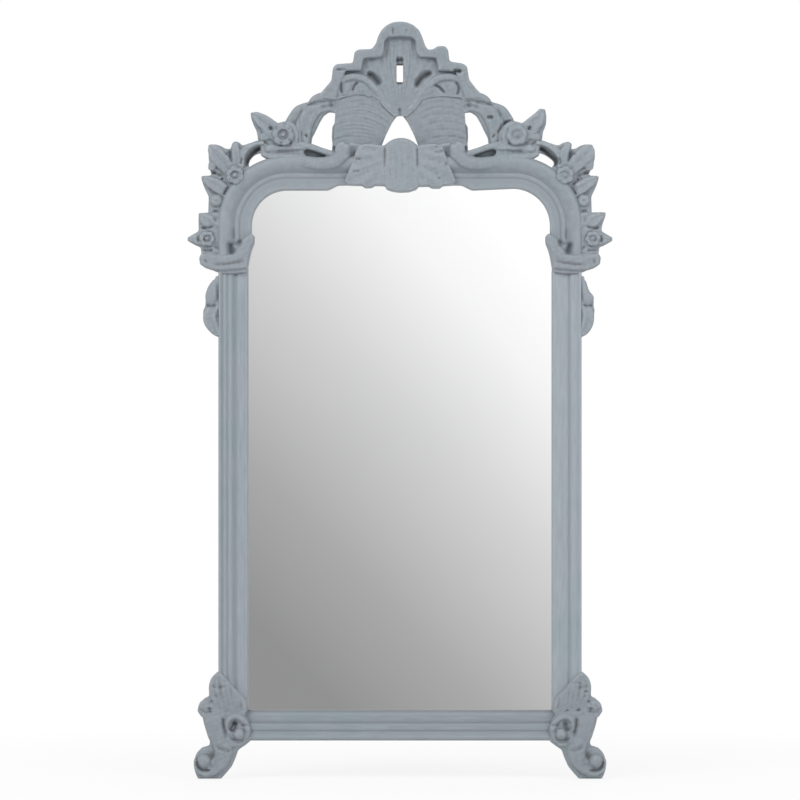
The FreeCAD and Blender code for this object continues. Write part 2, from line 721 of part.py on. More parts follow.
def wall_bumpers():
    pads = [Part.makeCylinder(bumper_radius, wall_gap, Vector(x, back_y, z), Vector(0, 1, 0))
            for x, z in bumper_places()]
    return Part.makeCompound(pads)


def backing_board():
    radius = board_half - arch_centre_x
    low = sight_bottom_z - rebate_width - board_lap
    board = arched_plate(board_half, low, radius, -board_thickness, 0)
    holes = [clearance_hole(x, z, back_y, board_thickness) for x, z in board_screw_places()]
    return bored(board, holes)


def glass_sheet(thickness, back_height):
    half = sight_half + rebate_width - glass_play
    low = sight_bottom_z - rebate_width + glass_play
    return arched_plate(half, low, half - arch_centre_x, thickness, back_height)


def make_frame():
    holes = wood_holes()
    stile = left_stile()
    arch = left_arch()
    add("stile_left", bored(stile, holes))
    add("stile_right", bored(flipped(stile), holes))
    add("bottom_rail", bored(bottom_rail(), holes))
    add("arch_left", bored(arch, holes))
    add("arch_right", bored(flipped(arch), holes))
    board = crest_board().cut(crest_openings())
    add_carving("crest_board", bored(board, holes))


def make_carving():
    openings = crest_openings()
    add_carving("crest_cartouche", crest_cartouche().cut(openings))
    add_carving("crest_plume", crest_plume().cut(openings))
    add_carving_pair("rosette", flower(rosette_share, carving_back, flower_height, rosette_radius))
    add_carving_pair("crest_leaf", crest_leaf().cut(openings))
    add_carving_pair("shell_wing", shell_wing().cut(openings))
    add_carving("centre_valance", centre_valance().cut(openings))
    add_carving_pair("arch_scroll", arch_scroll().cut(openings))
    add_carving_pair("rosette_leaf", rosette_leaf())
    add_carving_pair("shoulder_flower",
                     flower(shoulder_flower_share, carving_back, flower_height, flower_radius))
    add_carving_pair("side_flower", flower(side_flower_share, carving_back, flower_height, flower_radius))
    add_carving_pair("shoulder_spray", shoulder_spray())
    add_carving_pair("side_spray", side_spray())
    add_carving_pair("collar", collar())
    add_carving_pair("drop_leaf", drop_leaf())
    add_carving_pair("corner_leaf", corner_leaf())
    add_carving_pair("scroll_foot", scroll_foot())


def make_back():
    add("mirror_glass", glass_sheet(glass_thickness, packing_thickness))
    add("glass_packing", glass_sheet(packing_thickness, 0))
    add("backing_board", backing_board())
    board_seat = back_y + board_thickness
    strap_seat = back_y + strap_thickness
    hanger_seat = back_y + hanger_plate_thickness
    board_screws = [screw(x, z, board_seat, board_screw_length) for x, z in board_screw_places()]
    strap_screws = [screw(x, z, strap_seat, strap_screw_length) for x, z in strap_screw_places()]
    hanger_screws = [screw(x, z, hanger_seat, hanger_screw_length) for x, z in hanger_screw_places()]
    add("board_screws", Part.makeCompound(board_screws))
    add("strap_screws", Part.makeCompound(strap_screws))
    add("hanger_screws", Part.makeCompound(hanger_screws))
    for side, word in ((-1, "left"), (1, "right")):
        add("crest_strap_" + word, crest_strap(side))
        add("hanger_strap_" + word, hanger_strap(side))
        add("hanger_ring_" + word, hanger_ring(side))
    add("wall_bumpers", wall_bumpers())
    add("frame_dowels", Part.makeCompound(dowels(0)))


def main():
    make_frame()
    make_carving()
    make_back()
    os.makedirs("parts", exist_ok=True)
    for name, shape in pieces.items():
        shape.exportStep("parts/" + name + ".step")
        print(name, len(shape.Solids), "solid", round(shape.Volume), "cubic mm")


main()
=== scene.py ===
import bpy
import numpy as np
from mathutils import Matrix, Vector


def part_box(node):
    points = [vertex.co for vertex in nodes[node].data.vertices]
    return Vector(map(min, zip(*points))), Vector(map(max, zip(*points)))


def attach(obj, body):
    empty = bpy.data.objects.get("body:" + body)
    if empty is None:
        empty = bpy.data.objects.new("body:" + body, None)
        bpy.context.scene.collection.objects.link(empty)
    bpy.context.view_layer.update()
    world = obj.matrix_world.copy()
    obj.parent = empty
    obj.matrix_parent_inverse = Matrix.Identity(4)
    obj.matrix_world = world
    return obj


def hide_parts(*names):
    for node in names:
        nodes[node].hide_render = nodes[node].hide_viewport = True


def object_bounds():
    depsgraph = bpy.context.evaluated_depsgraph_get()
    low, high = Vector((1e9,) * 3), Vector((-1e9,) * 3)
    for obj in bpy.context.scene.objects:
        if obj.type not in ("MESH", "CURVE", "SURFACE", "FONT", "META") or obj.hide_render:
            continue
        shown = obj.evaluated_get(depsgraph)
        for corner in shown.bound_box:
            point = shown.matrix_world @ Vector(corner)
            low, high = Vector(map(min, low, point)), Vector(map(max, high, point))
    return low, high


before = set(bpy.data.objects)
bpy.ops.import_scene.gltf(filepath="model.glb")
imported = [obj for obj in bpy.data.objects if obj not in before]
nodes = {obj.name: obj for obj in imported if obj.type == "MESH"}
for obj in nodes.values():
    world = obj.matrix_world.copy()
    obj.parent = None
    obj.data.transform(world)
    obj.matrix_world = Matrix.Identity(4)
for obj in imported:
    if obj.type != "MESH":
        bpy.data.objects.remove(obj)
cadLow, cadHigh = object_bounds()

# A carved, grey painted wall mirror. The carving is placed by columns and rows of the photograph, with
# heights in millimetres above the back of the frame. Of a pair, the left piece is the one placed.
photo = {"middle": 400.0, "top": 22.0, "foot": 778.0, "width": 800}
millimetre = 0.001
metresPerPixel = (cadHigh.z - cadLow.z) / (photo["foot"] - photo["top"])
pixel = metresPerPixel / millimetre          # millimetres in a pixel
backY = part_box("stile_left")[1].y            # the back of the frame


def rowPoints(px, py, height):
    # pixel columns and rows and heights to metres
    x = (px - photo["middle"]) * metresPerPixel
    z = cadLow.z + (photo["foot"] - py) * metresPerPixel
    return np.stack([x, backY - height * millimetre, z], axis=-1)


def photoPlaces(points):
    # metres back to pixel columns and rows
    return (points[:, 0] / metresPerPixel + photo["middle"],
            photo["foot"] - (points[:, 2] - cadLow.z) / metresPerPixel)


def aboveBack(points):
    # heights in millimetres above the back of the frame
    return (backY - points[..., 1]) / millimetre


# Lines

def evenly(rows, count):
    # points at even steps along a broken line: each column is read off against the length so far
    rows = np.asarray(rows, float)
    steps = np.hypot(*np.diff(rows[:, :2], axis=0).T)
    along = np.concatenate([[0.0], np.cumsum(steps)])
    places = np.linspace(0, along[-1], count)
    return np.stack([np.interp(places, along, column) for column in rows.T], axis=1)


def curved(rows, count):
    # a smooth line through every point: cubic spans whose slope at a point is half the step
    # between its two neighbours
    rows = np.asarray(rows, float)
    padded = np.vstack([2 * rows[0] - rows[1], rows, 2 * rows[-1] - rows[-2]])
    spans = len(rows) - 1
    t = np.linspace(0, spans, spans * 12 + 1)
    k = np.minimum(t.astype(int), spans - 1)
    u = (t - k)[:, None]
    a, b, c, d = padded[k], padded[k + 1], padded[k + 2], padded[k + 3]
    line = 0.5 * (2 * b + (c - a) * u + (2 * a - 5 * b + 4 * c - d) * u ** 2
                  + (3 * b - a - 3 * c + d) * u ** 3)
    return evenly(line, count)


def cornered(rows, count, soften=2):
    # a broken line with its corners eased by averaging each point with its two neighbours
    line = evenly(rows, count)
    for _ in range(soften):
        line[1:-1] = (line[:-2] + 2 * line[1:-1] + line[2:]) / 4
    return line


# Blocks that the carving is fused from: each is its points and a list of faces

def rings(loops):
    # closed skin over loops of points: neighbouring loops joined by quads, with a cap at each end
    count, size = loops.shape[:2]
    i, j = np.meshgrid(np.arange(count - 1), np.arange(size), indexing="ij")
    k = (j + 1) % size
    quads = np.stack([i * size + j, i * size + k, (i + 1) * size + k, (i + 1) * size + j], axis=-1)
    faces = quads.reshape(-1, 4).tolist()
    faces.append(list(range(size))[::-1])
    faces.append(list(range((count - 1) * size, count * size)))
    return loops.reshape(-1, 3), faces


def roundedDrop(inside, radius):
    # how far a top falls near its edge: a quarter circle of that radius, from the distance inside
    short = np.clip(1 - inside / radius, 0, 1)
    return radius * (1 - np.sqrt(1 - short ** 2))


def standing(px, py, top, floor):
    # closed strip of a grid: its top, and both its side lines again at the floor
    px, py = (np.concatenate([grid[:, :1], grid, grid[:, -1:]], axis=1) for grid in (px, py))
    return rings(rowPoints(px, py, np.concatenate([floor, top, floor], axis=1)))


def stroke(rows, base=3.0, edge=3.2, crown=0.25, vein=0.0, count=44, across=15):
    # a form carried along a path of (column, row, height, half width): across it the top is the
    # height, less the edge's quarter circle, less crown times v squared (or more, for a hollow
    # leaf), less a bell shaped vein along the middle; the sides drop to the base
    line = curved(rows, count)
    tangent = np.gradient(line[:, :2], axis=0)
    tangent /= np.maximum(np.linalg.norm(tangent, axis=1), 1e-6)[:, None]
    v = np.sin(np.linspace(-np.pi / 2, np.pi / 2, across))
    half = np.maximum(line[:, 3], 0.3)[:, None]
    px = line[:, 0, None] - tangent[:, 1, None] * half * v
    py = line[:, 1, None] + tangent[:, 0, None] * half * v
    halfMm = half * pixel
    top = line[:, 2, None] - roundedDrop((1 - np.abs(v)) * halfMm, np.minimum(edge, halfMm))
    top = top - crown * halfMm * v ** 2 - vein * np.exp(-(v / 0.16) ** 2)
    return standing(px, py, top, np.minimum(base, top.min(axis=1, keepdims=True) - 0.5))


def between(edgeA, edgeB, height, base=3.0, edge=3.0, count=60, across=41, soften=2):
    # a form between two lines: a point is the weighted mean of theirs, and its top is a function
    # height(s, v, column, row) less a quarter circle at the two lines
    a, b = cornered(edgeA, count, soften), cornered(edgeB, count, soften)
    v = (1 - np.cos(np.linspace(0, np.pi, across))) / 2
    px = a[:, 0, None] * (1 - v) + b[:, 0, None] * v
    py = a[:, 1, None] * (1 - v) + b[:, 1, None] * v
    s = np.linspace(0, 1, count)[:, None] * np.ones_like(v)
    wide = np.maximum(np.hypot(a[:, 0] - b[:, 0], a[:, 1] - b[:, 1]), 0.3)[:, None] * pixel
    inside = np.minimum(v, 1 - v) * wide
    top = height(s, v, px, py) - roundedDrop(inside, np.minimum(edge, wide / 2))
    return standing(px, py, np.maximum(top, base + 0.5), np.full((count, 1), base))


def ball(column, row, height, radius, squash=1.0):
    # a ball of a radius in pixels about a centre, as circles of latitude, flattened front to back
    tilt = np.linspace(-np.pi / 2 + 0.04, np.pi / 2 - 0.04, 20)[:, None]
    angle = np.linspace(0, 2 * np.pi, 36, endpoint=False)
    px = column + radius * np.cos(tilt) * np.cos(angle)
    py = row - radius * np.cos(tilt) * np.sin(angle)
    h = height + radius * pixel * squash * np.sin(tilt) * np.ones_like(angle)
    return rings(rowPoints(px, py, h))


def slab(outline, height, base=3.0, edge=2.5, soften=1):
    # a flat form inside a closed outline: its loops step inward and up along a quarter circle. The
    # step in is smaller at sharp corners and thin tips: at most four fifths of the bend's radius
    # and two fifths of the width, easing off with the distance from there
    closed = np.vstack([outline, outline[:1]])
    line = evenly(closed, 240)[:-1]
    for _ in range(soften):
        line = (np.roll(line, 1, axis=0) + 2 * line + np.roll(line, -1, axis=0)) / 4
    ahead = np.roll(line, -1, axis=0) - np.roll(line, 1, axis=0)
    steps = np.maximum(np.linalg.norm(ahead, axis=1), 1e-6)
    ahead /= steps[:, None]
    x, y = line.T
    turning = np.sign(np.sum(x * np.roll(y, -1) - y * np.roll(x, -1)))
    inward = np.stack([-ahead[:, 1], ahead[:, 0]], axis=1) * turning
    later = np.roll(ahead, -1, axis=0)
    bent = (ahead[:, 0] * later[:, 1] - ahead[:, 1] * later[:, 0]) * turning * 2 / steps
    apart = np.linalg.norm(line[:, None] - line[None], axis=2)
    order = np.arange(len(line))
    places = np.abs(order[:, None] - order)
    near = np.minimum(places, len(line) - places) < 14
    room = np.minimum(0.4 * np.where(near, 1e9, apart).min(axis=1), 0.8 / np.maximum(bent, 1e-3))
    room = (room[None] + 0.5 * apart).min(axis=1)
    share = np.minimum(1, room * pixel / edge)[:, None]
    bend = np.linspace(0, np.pi / 2, 5)
    insets = np.concatenate([[0.0], edge * (1 - np.cos(bend))]) / pixel
    heights = np.concatenate([[base], height - edge + edge * np.sin(bend)])
    loops = [rowPoints(*(line + inward * inset * share).T, np.full(len(line), h))
             for inset, h in zip(insets, heights)]
    return rings(np.array(loops))


bloomShape = {
    "button": [(0, 38.2), (0.13, 37.8)], "hollow": [(0.23, 36.4), (0.4, 36.0)],
    "ring": [(0.54, 37.2), (0.63, 37.8), (0.73, 36.2)], "petals": [(0.84, 37.2), (0.93, 36.2), (1, 32.5)],
    "base": 9, "notch": 0.10, "notchDrop": 14, "notchFrom": 0.45, "notchRun": 0.3}


def bloom(column, row, radius, petals, turn, sunk=2.4):
    # a small flower: its height is read off a profile of (share of the radius, height), round petals,
    # a raised ring, and a button in a hollow that lies so many millimetres deeper. Notches part the
    # petals: the sixth power of a sine of the angle shortens the radius and lowers the top
    hollow = [(share, height - sunk) for share, height in bloomShape["hollow"]]
    profile = bloomShape["button"] + hollow + bloomShape["ring"] + bloomShape["petals"]
    shares, heights = np.array(profile, float).T
    r = np.concatenate([np.linspace(0.02, 1, 26), [1.0]])[:, None]
    angle = np.linspace(0, 2 * np.pi, 80, endpoint=False)
    outer = np.clip((r - bloomShape["notchFrom"]) / bloomShape["notchRun"], 0, 1)
    parting = np.sin(petals * angle / 2 + turn) ** 6 * outer
    reach = radius * r * (1 - bloomShape["notch"] * parting)
    top = np.interp(r, shares, heights) - bloomShape["notchDrop"] * bloomShape["notch"] * parting
    top[-1] = bloomShape["base"]
    return rings(rowPoints(column + reach * np.cos(angle), row - reach * np.sin(angle), top))


# Meshes

carving = {
    "coarser": 1.4,
    "kept": 0.6,                 # share of the faces that thinning keeps
    "creases": ((5, 620.0), (30, 330.0))}   # rounds of smoothing, and hollow value to the metre


def meshOf(name, blocks):
    # one mesh of several blocks
    points, faces, start = [], [], 0
    for block, polygons in blocks:
        points.append(block)
        faces += [[start + corner for corner in polygon] for polygon in polygons]
        start += len(block)
    mesh = bpy.data.meshes.new(name)
    mesh.from_pydata(np.concatenate(points).tolist(), [], faces)
    return mesh


def fused(blocks, voxel):
    # one closed skin over overlapping blocks, as arrays of points and of quads
    block = bpy.data.objects.new("block", meshOf("block", blocks))
    bpy.context.scene.collection.objects.link(block)
    remesh = block.modifiers.new("fuse", "REMESH")
    remesh.mode = "VOXEL"
    remesh.voxel_size = voxel * millimetre * 1.0
    final = block.evaluated_get(bpy.context.evaluated_depsgraph_get())
    skin = bpy.data.meshes.new_from_object(final)
    points = np.empty(len(skin.vertices) * 3)
    skin.vertices.foreach_get("co", points)
    corners = np.empty(len(skin.loops), int)
    skin.loops.foreach_get("vertex_index", corners)
    bpy.data.objects.remove(block)
    bpy.data.meshes.remove(skin)
    return points.reshape(-1, 3), corners.reshape(-1, 4)


def edgePairs(quads):
    # every edge once, as its two points
    pairs = np.concatenate([quads[:, [k, (k + 1) % 4]] for k in range(4)])
    return np.unique(np.sort(pairs, axis=1), axis=0)


def neighbourMean(values, pairs):
    # mean of each point's neighbours
    count = len(values)
    ends = np.concatenate([pairs[:, 0], pairs[:, 1]])
    others = np.concatenate([pairs[:, 1], pairs[:, 0]])
    total = np.stack([np.bincount(ends, column[others], count) for column in values.T], axis=1)
    return total / np.maximum(np.bincount(ends, minlength=count), 1)[:, None]


def eased(points, pairs, rounds):
    # softens the skin as thick paint does: each round moves a point halfway to its neighbours' mean
    for _ in range(rounds):
        points = points + 0.5 * (neighbourMean(points, pairs) - points)
    return points


def normalsOf(points, quads):
    # each point's normal is the sum of the crossed diagonals of its quads
    a, b, c, d = (points[quads[:, k]] for k in range(4))
    cross = np.cross(c - a, d - b)
    total = np.zeros_like(points)
    for axis in range(3):
        total[:, axis] = np.bincount(quads.ravel(), np.repeat(cross[:, axis], 4), len(points))
    return total / np.maximum(np.linalg.norm(total, axis=1), 1e-12)[:, None]


def hollowness(points, quads, pairs):
    # how far a point lies under the smoothed surface round it, at a fine and a broad scale:
    # positive in creases, where the paint lays painted shade, negative on ridges, where it lays wear and
    # painted highlight
    normals = normalsOf(points, quads)
    smooth, amount = points, 0
    for rounds, scale in carving["creases"]:
        for _ in range(rounds):
            smooth = neighbourMean(smooth, pairs)
        amount = amount + np.sum((smooth - points) * normals, axis=1) * scale
    return np.clip(amount, -1, 1)


def nearLine(px, py, line):
    # shortest distance in pixels from each point to a broken line, and the share of its length there
    lengths = np.hypot(*np.diff(line, axis=0).T)
    best, share, passed = np.full(len(px), 1e9), np.zeros(len(px)), 0.0
    for (ax, ay), (bx, by), length in zip(line[:-1], line[1:], lengths):
        t = np.clip(((px - ax) * (bx - ax) + (py - ay) * (by - ay)) / length ** 2, 0, 1)
        away = np.hypot(px - ax - t * (bx - ax), py - ay - t * (by - ay))
        share = np.where(away < best, (passed + t * length) / lengths.sum(), share)
        best = np.minimum(best, away)
        passed += length
    return best, share, lengths.sum()


def cut(points, cuts, lowest=9.0):
    # valleys, or ridges where the depth is under zero: (line, width in pixels, depth in millimetres).
    # The depth dies away as a bell curve with the distance from the line, tapers towards both ends
    # of a long line, and fades out near the back
    px, py = photoPlaces(points)
    height = aboveBack(points)
    reach = np.clip((height - lowest) / 6, 0, 1)
    total = np.zeros(len(points))
    for line, width, depth in cuts:
        line = curved(line, 4 * len(line))[:, :2] if len(line) > 2 else np.array(line, float)
        away, share, length = nearLine(px, py, line)
        ends = np.clip(np.minimum(share, 1 - share) * 3.5, 0, 1) if length > 2 * width else 1
        taper = ends * (2 - ends)
        bell = np.exp(-(away / (width * (0.7 + 0.3 * taper))) ** 2)
        total += depth * (0.12 + 0.88 * taper) * bell
    points[:, 1] += np.minimum(total * reach, np.maximum(height - 2, 0)) * millimetre
    return points


def handmade(points, seed, amount=0.4):
    # the unevenness of carving by hand: slow sines of position on the front, well under a millimetre
    x, y, z = points.T
    wave = (np.sin(260 * x + 90 * z + seed) * np.sin(230 * z - 70 * x + 2 * seed)
            + 0.6 * np.sin(520 * x - 310 * z + 3 * seed) * np.sin(470 * z + 240 * x + seed))
    points[:, 1] += amount * wave * np.clip((aboveBack(points) - 9) / 8, 0, 1) * millimetre
    return points


def nudged(points, nudges):
    # soft shifts of a region: (column, row, radius, shift right, shift down) in pixels
    px, py = photoPlaces(points)
    for column, row, radius, right, down in nudges:
        pull = np.exp(-((px - column) ** 2 + (py - row) ** 2) / radius ** 2)
        points[:, 0] += pull * right * metresPerPixel
        points[:, 2] -= pull * down * metresPerPixel
    return points


def keptInside(points):
    # no point passes the box of the whole CAD model
    return np.clip(points, np.array(cadLow), np.array(cadHigh))


def framePiece(name, mesh, node, material, hollow):
    # a mesh becomes a piece of the frame, with its paint and the hollow value that the paint reads
    mesh.polygons.foreach_set("use_smooth", np.ones(len(mesh.polygons), bool))
    attribute = mesh.attributes.new("hollow", "FLOAT", "POINT")
    attribute.data.foreach_set("value", hollow.astype(np.float32).ravel())
    mesh.materials.append(material)
    piece = bpy.data.objects.new(name, mesh)
    bpy.context.scene.collection.objects.link(piece)
    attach(piece, "frame")
    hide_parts(node)
    return piece


def carvedPiece(name, points, quads, node, material, hollow):
    # a mesh of quads straight from the arrays, thinned where it is flattest
    mesh = bpy.data.meshes.new(name)
    mesh.vertices.add(len(points))
    mesh.vertices.foreach_set("co", points.astype(np.float32).ravel())
    mesh.loops.add(quads.size)
    mesh.loops.foreach_set("vertex_index", quads.astype(np.int32).ravel())
    mesh.polygons.add(len(quads))
    mesh.polygons.foreach_set("loop_start", np.arange(0, quads.size, 4, dtype=np.int32))
    mesh.update(calc_edges=True)
    piece = framePiece(name, mesh, node, material, hollow)
    piece.modifiers.new("thin", "DECIMATE").ratio = carving["kept"]


# Every carved piece has a dictionary, and what it leaves out is as it is here. Its blocks are
#   spans     first line, second line, height function, base, edge, steps along, steps across, softening
#   slabs     outline, height, base, edge, softening
#   strokes   path of (column, row, height, half width), base, edge, crown, vein, steps along
#   balls     column, row, height, radius, flattening
#   blooms    column, row, radius, petals, turn, depth of the hollow
# and its cuts are (line, width, depth): for both sides, or for the left or the right piece alone
usual = {
    "cuts": [], "leftCuts": [], "rightCuts": [],
    "deepestRight": 99.0,        # the most that a cut for both sides may sink in the right piece
    "rightNudges": [],           # soft shifts of the right piece
    "blunt": 0,                  # rounds of more easing on the right piece, where thick paint blunts it
    "voxel": 0.95,               # millimetres
    "rounds": 5,                 # rounds of easing
    "pair": True,
    "paints": ("carvedPaint", "carvedPaint")}
blockMakers = {"spans": between, "slabs": slab, "strokes": stroke, "balls": ball, "blooms": bloom}


def blocksOf(form):
    # every block that the dictionary names, in the order of the makers
    return [make(*row) for kind, make in blockMakers.items() for row in form.get(kind, {}).values()]


def carve(name, node, ownForm):
    # fuses the blocks, eases the skin, presses the cuts in and makes the left piece; the right
    # piece is the same form turned over, with small differences of its own. The length of the name
    # and the side seed the unevenness of each
    form = {**usual, **ownForm}
    points, quads = fused(blocksOf(form), form["voxel"])
    pairs = edgePairs(quads)
    skin = eased(points, pairs, form["rounds"])
    sides = (("Left", "_left", 1), ("Right", "_right", -1)) if form["pair"] else (("", "", 1),)
    for word, ending, side in sides:
        own, faces = skin.copy(), quads
        if side == 1:
            own = cut(own, form["cuts"] + form["leftCuts"])
        else:
            most = form["deepestRight"]
            shallower = [(line, width, min(depth, most)) for line, width, depth in form["cuts"]]
            own = cut(eased(own, pairs, form["blunt"]), shallower + form["rightCuts"])
            own[:, 0] *= -1
            faces = quads[:, ::-1]
            own = nudged(own, form["rightNudges"])
        own = keptInside(handmade(own, len(name) + side))
        carvedPiece(name + word, own, faces, node + ending, paints[form["paints"][side < 0]],
                    hollowness(own, faces, pairs))
    print(name, len(points), "points")


# Finishes

def newMaterial(name):
    # a material with its tree, its shader and the object's own coordinates
    material = bpy.data.materials.new(name)
    material.use_nodes = True
    tree = material.node_tree
    coords = tree.nodes.new("ShaderNodeTexCoord").outputs["Object"]
    return material, tree, tree.nodes["Principled BSDF"], coords


def feed(tree, socket, value):
    # a socket takes a link, a colour or a number
    if isinstance(value, bpy.types.NodeSocket):
        tree.links.new(value, socket)
    elif isinstance(value, tuple):
        socket.default_value = (*value, 1)
    else:
        socket.default_value = value


def noise(tree, coords, scale, detail=4.0, stretch=(1, 1, 1)):
    # noise of so many patches to the metre, closer along an axis where its stretch is over one
    mapping = tree.nodes.new("ShaderNodeMapping")
    mapping.inputs["Scale"].default_value = stretch
    tree.links.new(coords, mapping.inputs["Vector"])
    texture = tree.nodes.new("ShaderNodeTexNoise")
    texture.inputs["Scale"].default_value = scale
    texture.inputs["Detail"].default_value = detail
    tree.links.new(mapping.outputs["Vector"], texture.inputs["Vector"])
    return texture.outputs["Fac"]


def ramp(tree, value, stops):
    # stops of (place, colour or grey)
    band = tree.nodes.new("ShaderNodeValToRGB")
    elements = band.color_ramp.elements
    while len(elements) < len(stops):
        elements.new(0.5)
    for element, (place, tone) in zip(elements, stops):
        element.position = place
        element.color = (*tone, 1) if isinstance(tone, tuple) else (tone, tone, tone, 1)
    tree.links.new(value, band.inputs["Fac"])
    return band.outputs["Color"]


def mixed(tree, share, first, second, way="MIX"):
    # a colour between two, or laid over by another way of mixing
    mix = tree.nodes.new("ShaderNodeMix")
    mix.data_type = "RGBA"
    mix.blend_type = way
    for place, value in ((0, share), (6, first), (7, second)):
        feed(tree, mix.inputs[place], value)
    return mix.outputs[2]


def reckoned(tree, way, first, second, clamp=False):
    # one step of arithmetic
    step = tree.nodes.new("ShaderNodeMath")
    step.operation = way
    step.use_clamp = clamp
    for place, value in enumerate((first, second)):
        feed(tree, step.inputs[place], value)
    return step.outputs[0]


def bumped(tree, shader, height, strength, distance):
    # relief of the surface from a height
    bump = tree.nodes.new("ShaderNodeBump")
    bump.inputs["Strength"].default_value = strength
    bump.inputs["Distance"].default_value = distance
    tree.links.new(height, bump.inputs["Height"])
    tree.links.new(bump.outputs["Normal"], shader.inputs["Normal"])


paint = {
    "tone": (0.300, 0.336, 0.370),        # the grey paint, linear
    "coolTone": (0.272, 0.324, 0.352),
    "mauveTone": (0.300, 0.328, 0.366),
    "creaseShadeTone": (0.115, 0.110, 0.112),  # brownish painted shade, laid in creases where shade falls
    "wearAndHighlightTone": (0.42, 0.455, 0.485),     # lighter on ridges: wear, and a painted highlight where light catches them
    "driftScale": 9, "speckleScale": 90, "fineScale": 420,
    "speckleShare": 0.55,
    "spread": 0.7,                        # how far the speckle breaks the edge of the painted crease shade and of the wear and painted highlight
    "roughness": 0.52, "fineShare": 0.45, "bump": 0.22, "bumpDistance": 0.0006,
    "backWood": (0.40, 0.27, 0.155), "backWoodDark": (0.29, 0.185, 0.10), "grainScale": 30,
    "backReach": 0.0012,                  # bare wood begins this far before the back
    "backWander": 0.004, "backEdge": 1600.0}
# The depths make lighter and darker copies of one grey paint, which paint light and shade: the right pieces'
# palestPaint and stilePaintRight are paler than their left twins, and railPaint is darker, for light that
# falls unevenly across the frame.
paintKinds = {
    # stretch of the speckle, most painted crease shade, most wear and painted highlight, depth of the tone
    "carvedPaint": ((1, 1, 1), 0.85, 0.55, 0.85),
    "palePaint": ((1, 1, 1), 0.85, 0.55, 0.895),
    "palestPaint": ((1, 1, 1), 0.85, 0.55, 0.945),
    "archPaint": ((1, 1, 1), 0.6, 0.4, 0.955),
    "stilePaintLeft": ((3, 3, 0.3), 0.5, 0.35, 1.04),
    "stilePaintRight": ((3, 3, 0.3), 0.4, 0.35, 1.12),
    "railPaint": ((0.3, 3, 3), 0.5, 0.35, 0.925)}


def paintMaterial(name, streak, creaseShadeShare, wearAndHighlightShare, depth):
    # grey paint: broad drifts of hue, streaks along the moulding, dark creases of painted shade, pale ridges
    # of wear and painted highlight, and bare wood on the faces that lie against the wall side; depth scales
    # the tone of the paint, for lighter and darker copies that paint light and shade
    material, tree, shader, coords = newMaterial(name)
    attribute = tree.nodes.new("ShaderNodeAttribute")
    attribute.attribute_name = "hollow"
    hollow = attribute.outputs["Fac"]
    drift = noise(tree, coords, paint["driftScale"], 3)
    tones = [tuple(depth * part for part in paint[key]) for key in ("coolTone", "tone", "mauveTone")]
    tone = ramp(tree, drift, list(zip((0.36, 0.5, 0.66), tones)))
    speckle = noise(tree, coords, paint["speckleScale"], 5, streak)
    patches = ramp(tree, speckle, [(0.3, 0.42), (0.7, 0.58)])
    tone = mixed(tree, paint["speckleShare"], tone, patches, "OVERLAY")
    # painted shade in creases, and wear with painted highlight on ridges, their edges broken by the speckle
    spread = reckoned(tree, "MULTIPLY", reckoned(tree, "SUBTRACT", speckle, 0.5), paint["spread"])
    crease = ramp(tree, reckoned(tree, "ADD", hollow, spread), [(0.14, 0.0), (0.9, creaseShadeShare)])
    tone = mixed(tree, crease, tone, paint["creaseShadeTone"])
    ridge = reckoned(tree, "SUBTRACT", reckoned(tree, "MULTIPLY", hollow, -1.0), spread)
    tone = mixed(tree, ramp(tree, ridge, [(0.15, 0.0), (0.95, wearAndHighlightShare)]), tone, paint["wearAndHighlightTone"])
    # bare wood behind, its edge uneven by the drift
    place = tree.nodes.new("ShaderNodeSeparateXYZ")
    tree.links.new(coords, place.inputs[0])
    passed = reckoned(tree, "SUBTRACT", place.outputs["Y"], backY - paint["backReach"])
    uneven = reckoned(tree, "MULTIPLY", reckoned(tree, "SUBTRACT", drift, 0.5), paint["backWander"])
    behind = reckoned(tree, "MULTIPLY", reckoned(tree, "ADD", passed, uneven), paint["backEdge"], True)
    grain = ramp(tree, noise(tree, coords, paint["grainScale"], 6, (6, 6, 0.7)), [(0.35, 0.0), (0.65, 1.0)])
    tone = mixed(tree, behind, tone, mixed(tree, grain, paint["backWood"], paint["backWoodDark"]))
    tree.links.new(tone, shader.inputs["Base Color"])
    rough = [(0.3, paint["roughness"] - 0.07), (0.7, paint["roughness"] + 0.1)]
    tree.links.new(ramp(tree, speckle, rough), shader.inputs["Roughness"])
    relief = mixed(tree, paint["fineShare"], speckle, noise(tree, coords, paint["fineScale"], 3))
    bumped(tree, shader, relief, paint["bump"], paint["bumpDistance"])
    return material


paints = {name: paintMaterial(name, *kind) for name, kind in paintKinds.items()}

soft = {"detail": 6, "bump": 0.4, "bumpDistance": 0.0006}
glass = {
    "tint": [(0.3, (0.93, 0.935, 0.935)), (0.7, (0.95, 0.95, 0.95))], "haze": [(0.3, 0.012), (0.8, 0.03)]}
zinc = {
    "tone": [(0.3, (0.52, 0.53, 0.54)), (0.7, (0.66, 0.66, 0.65))], "gloss": [(0.3, 0.28), (0.75, 0.46)]}
board = {
    "tone": [(0.3, (0.135, 0.07, 0.032)), (0.7, (0.19, 0.105, 0.05))],
    "fibre": [(0.3, 0.35), (0.7, 0.65)], "fibreShare": 0.6,
    "roughness": 0.62, "bump": 0.25, "bumpDistance": 0.0004}


def metalMaterial(name, tones, toneScale, toneDetail, gloss, glossScale):
    # polished metal: faint drifts of tone, and smears in its gloss
    material, tree, shader, coords = newMaterial(name)
    tone = ramp(tree, noise(tree, coords, toneScale, toneDetail), tones)
    tree.links.new(tone, shader.inputs["Base Color"])
    shader.inputs["Metallic"].default_value = 1.0
    tree.links.new(ramp(tree, noise(tree, coords, glossScale, 4), gloss), shader.inputs["Roughness"])
    return material


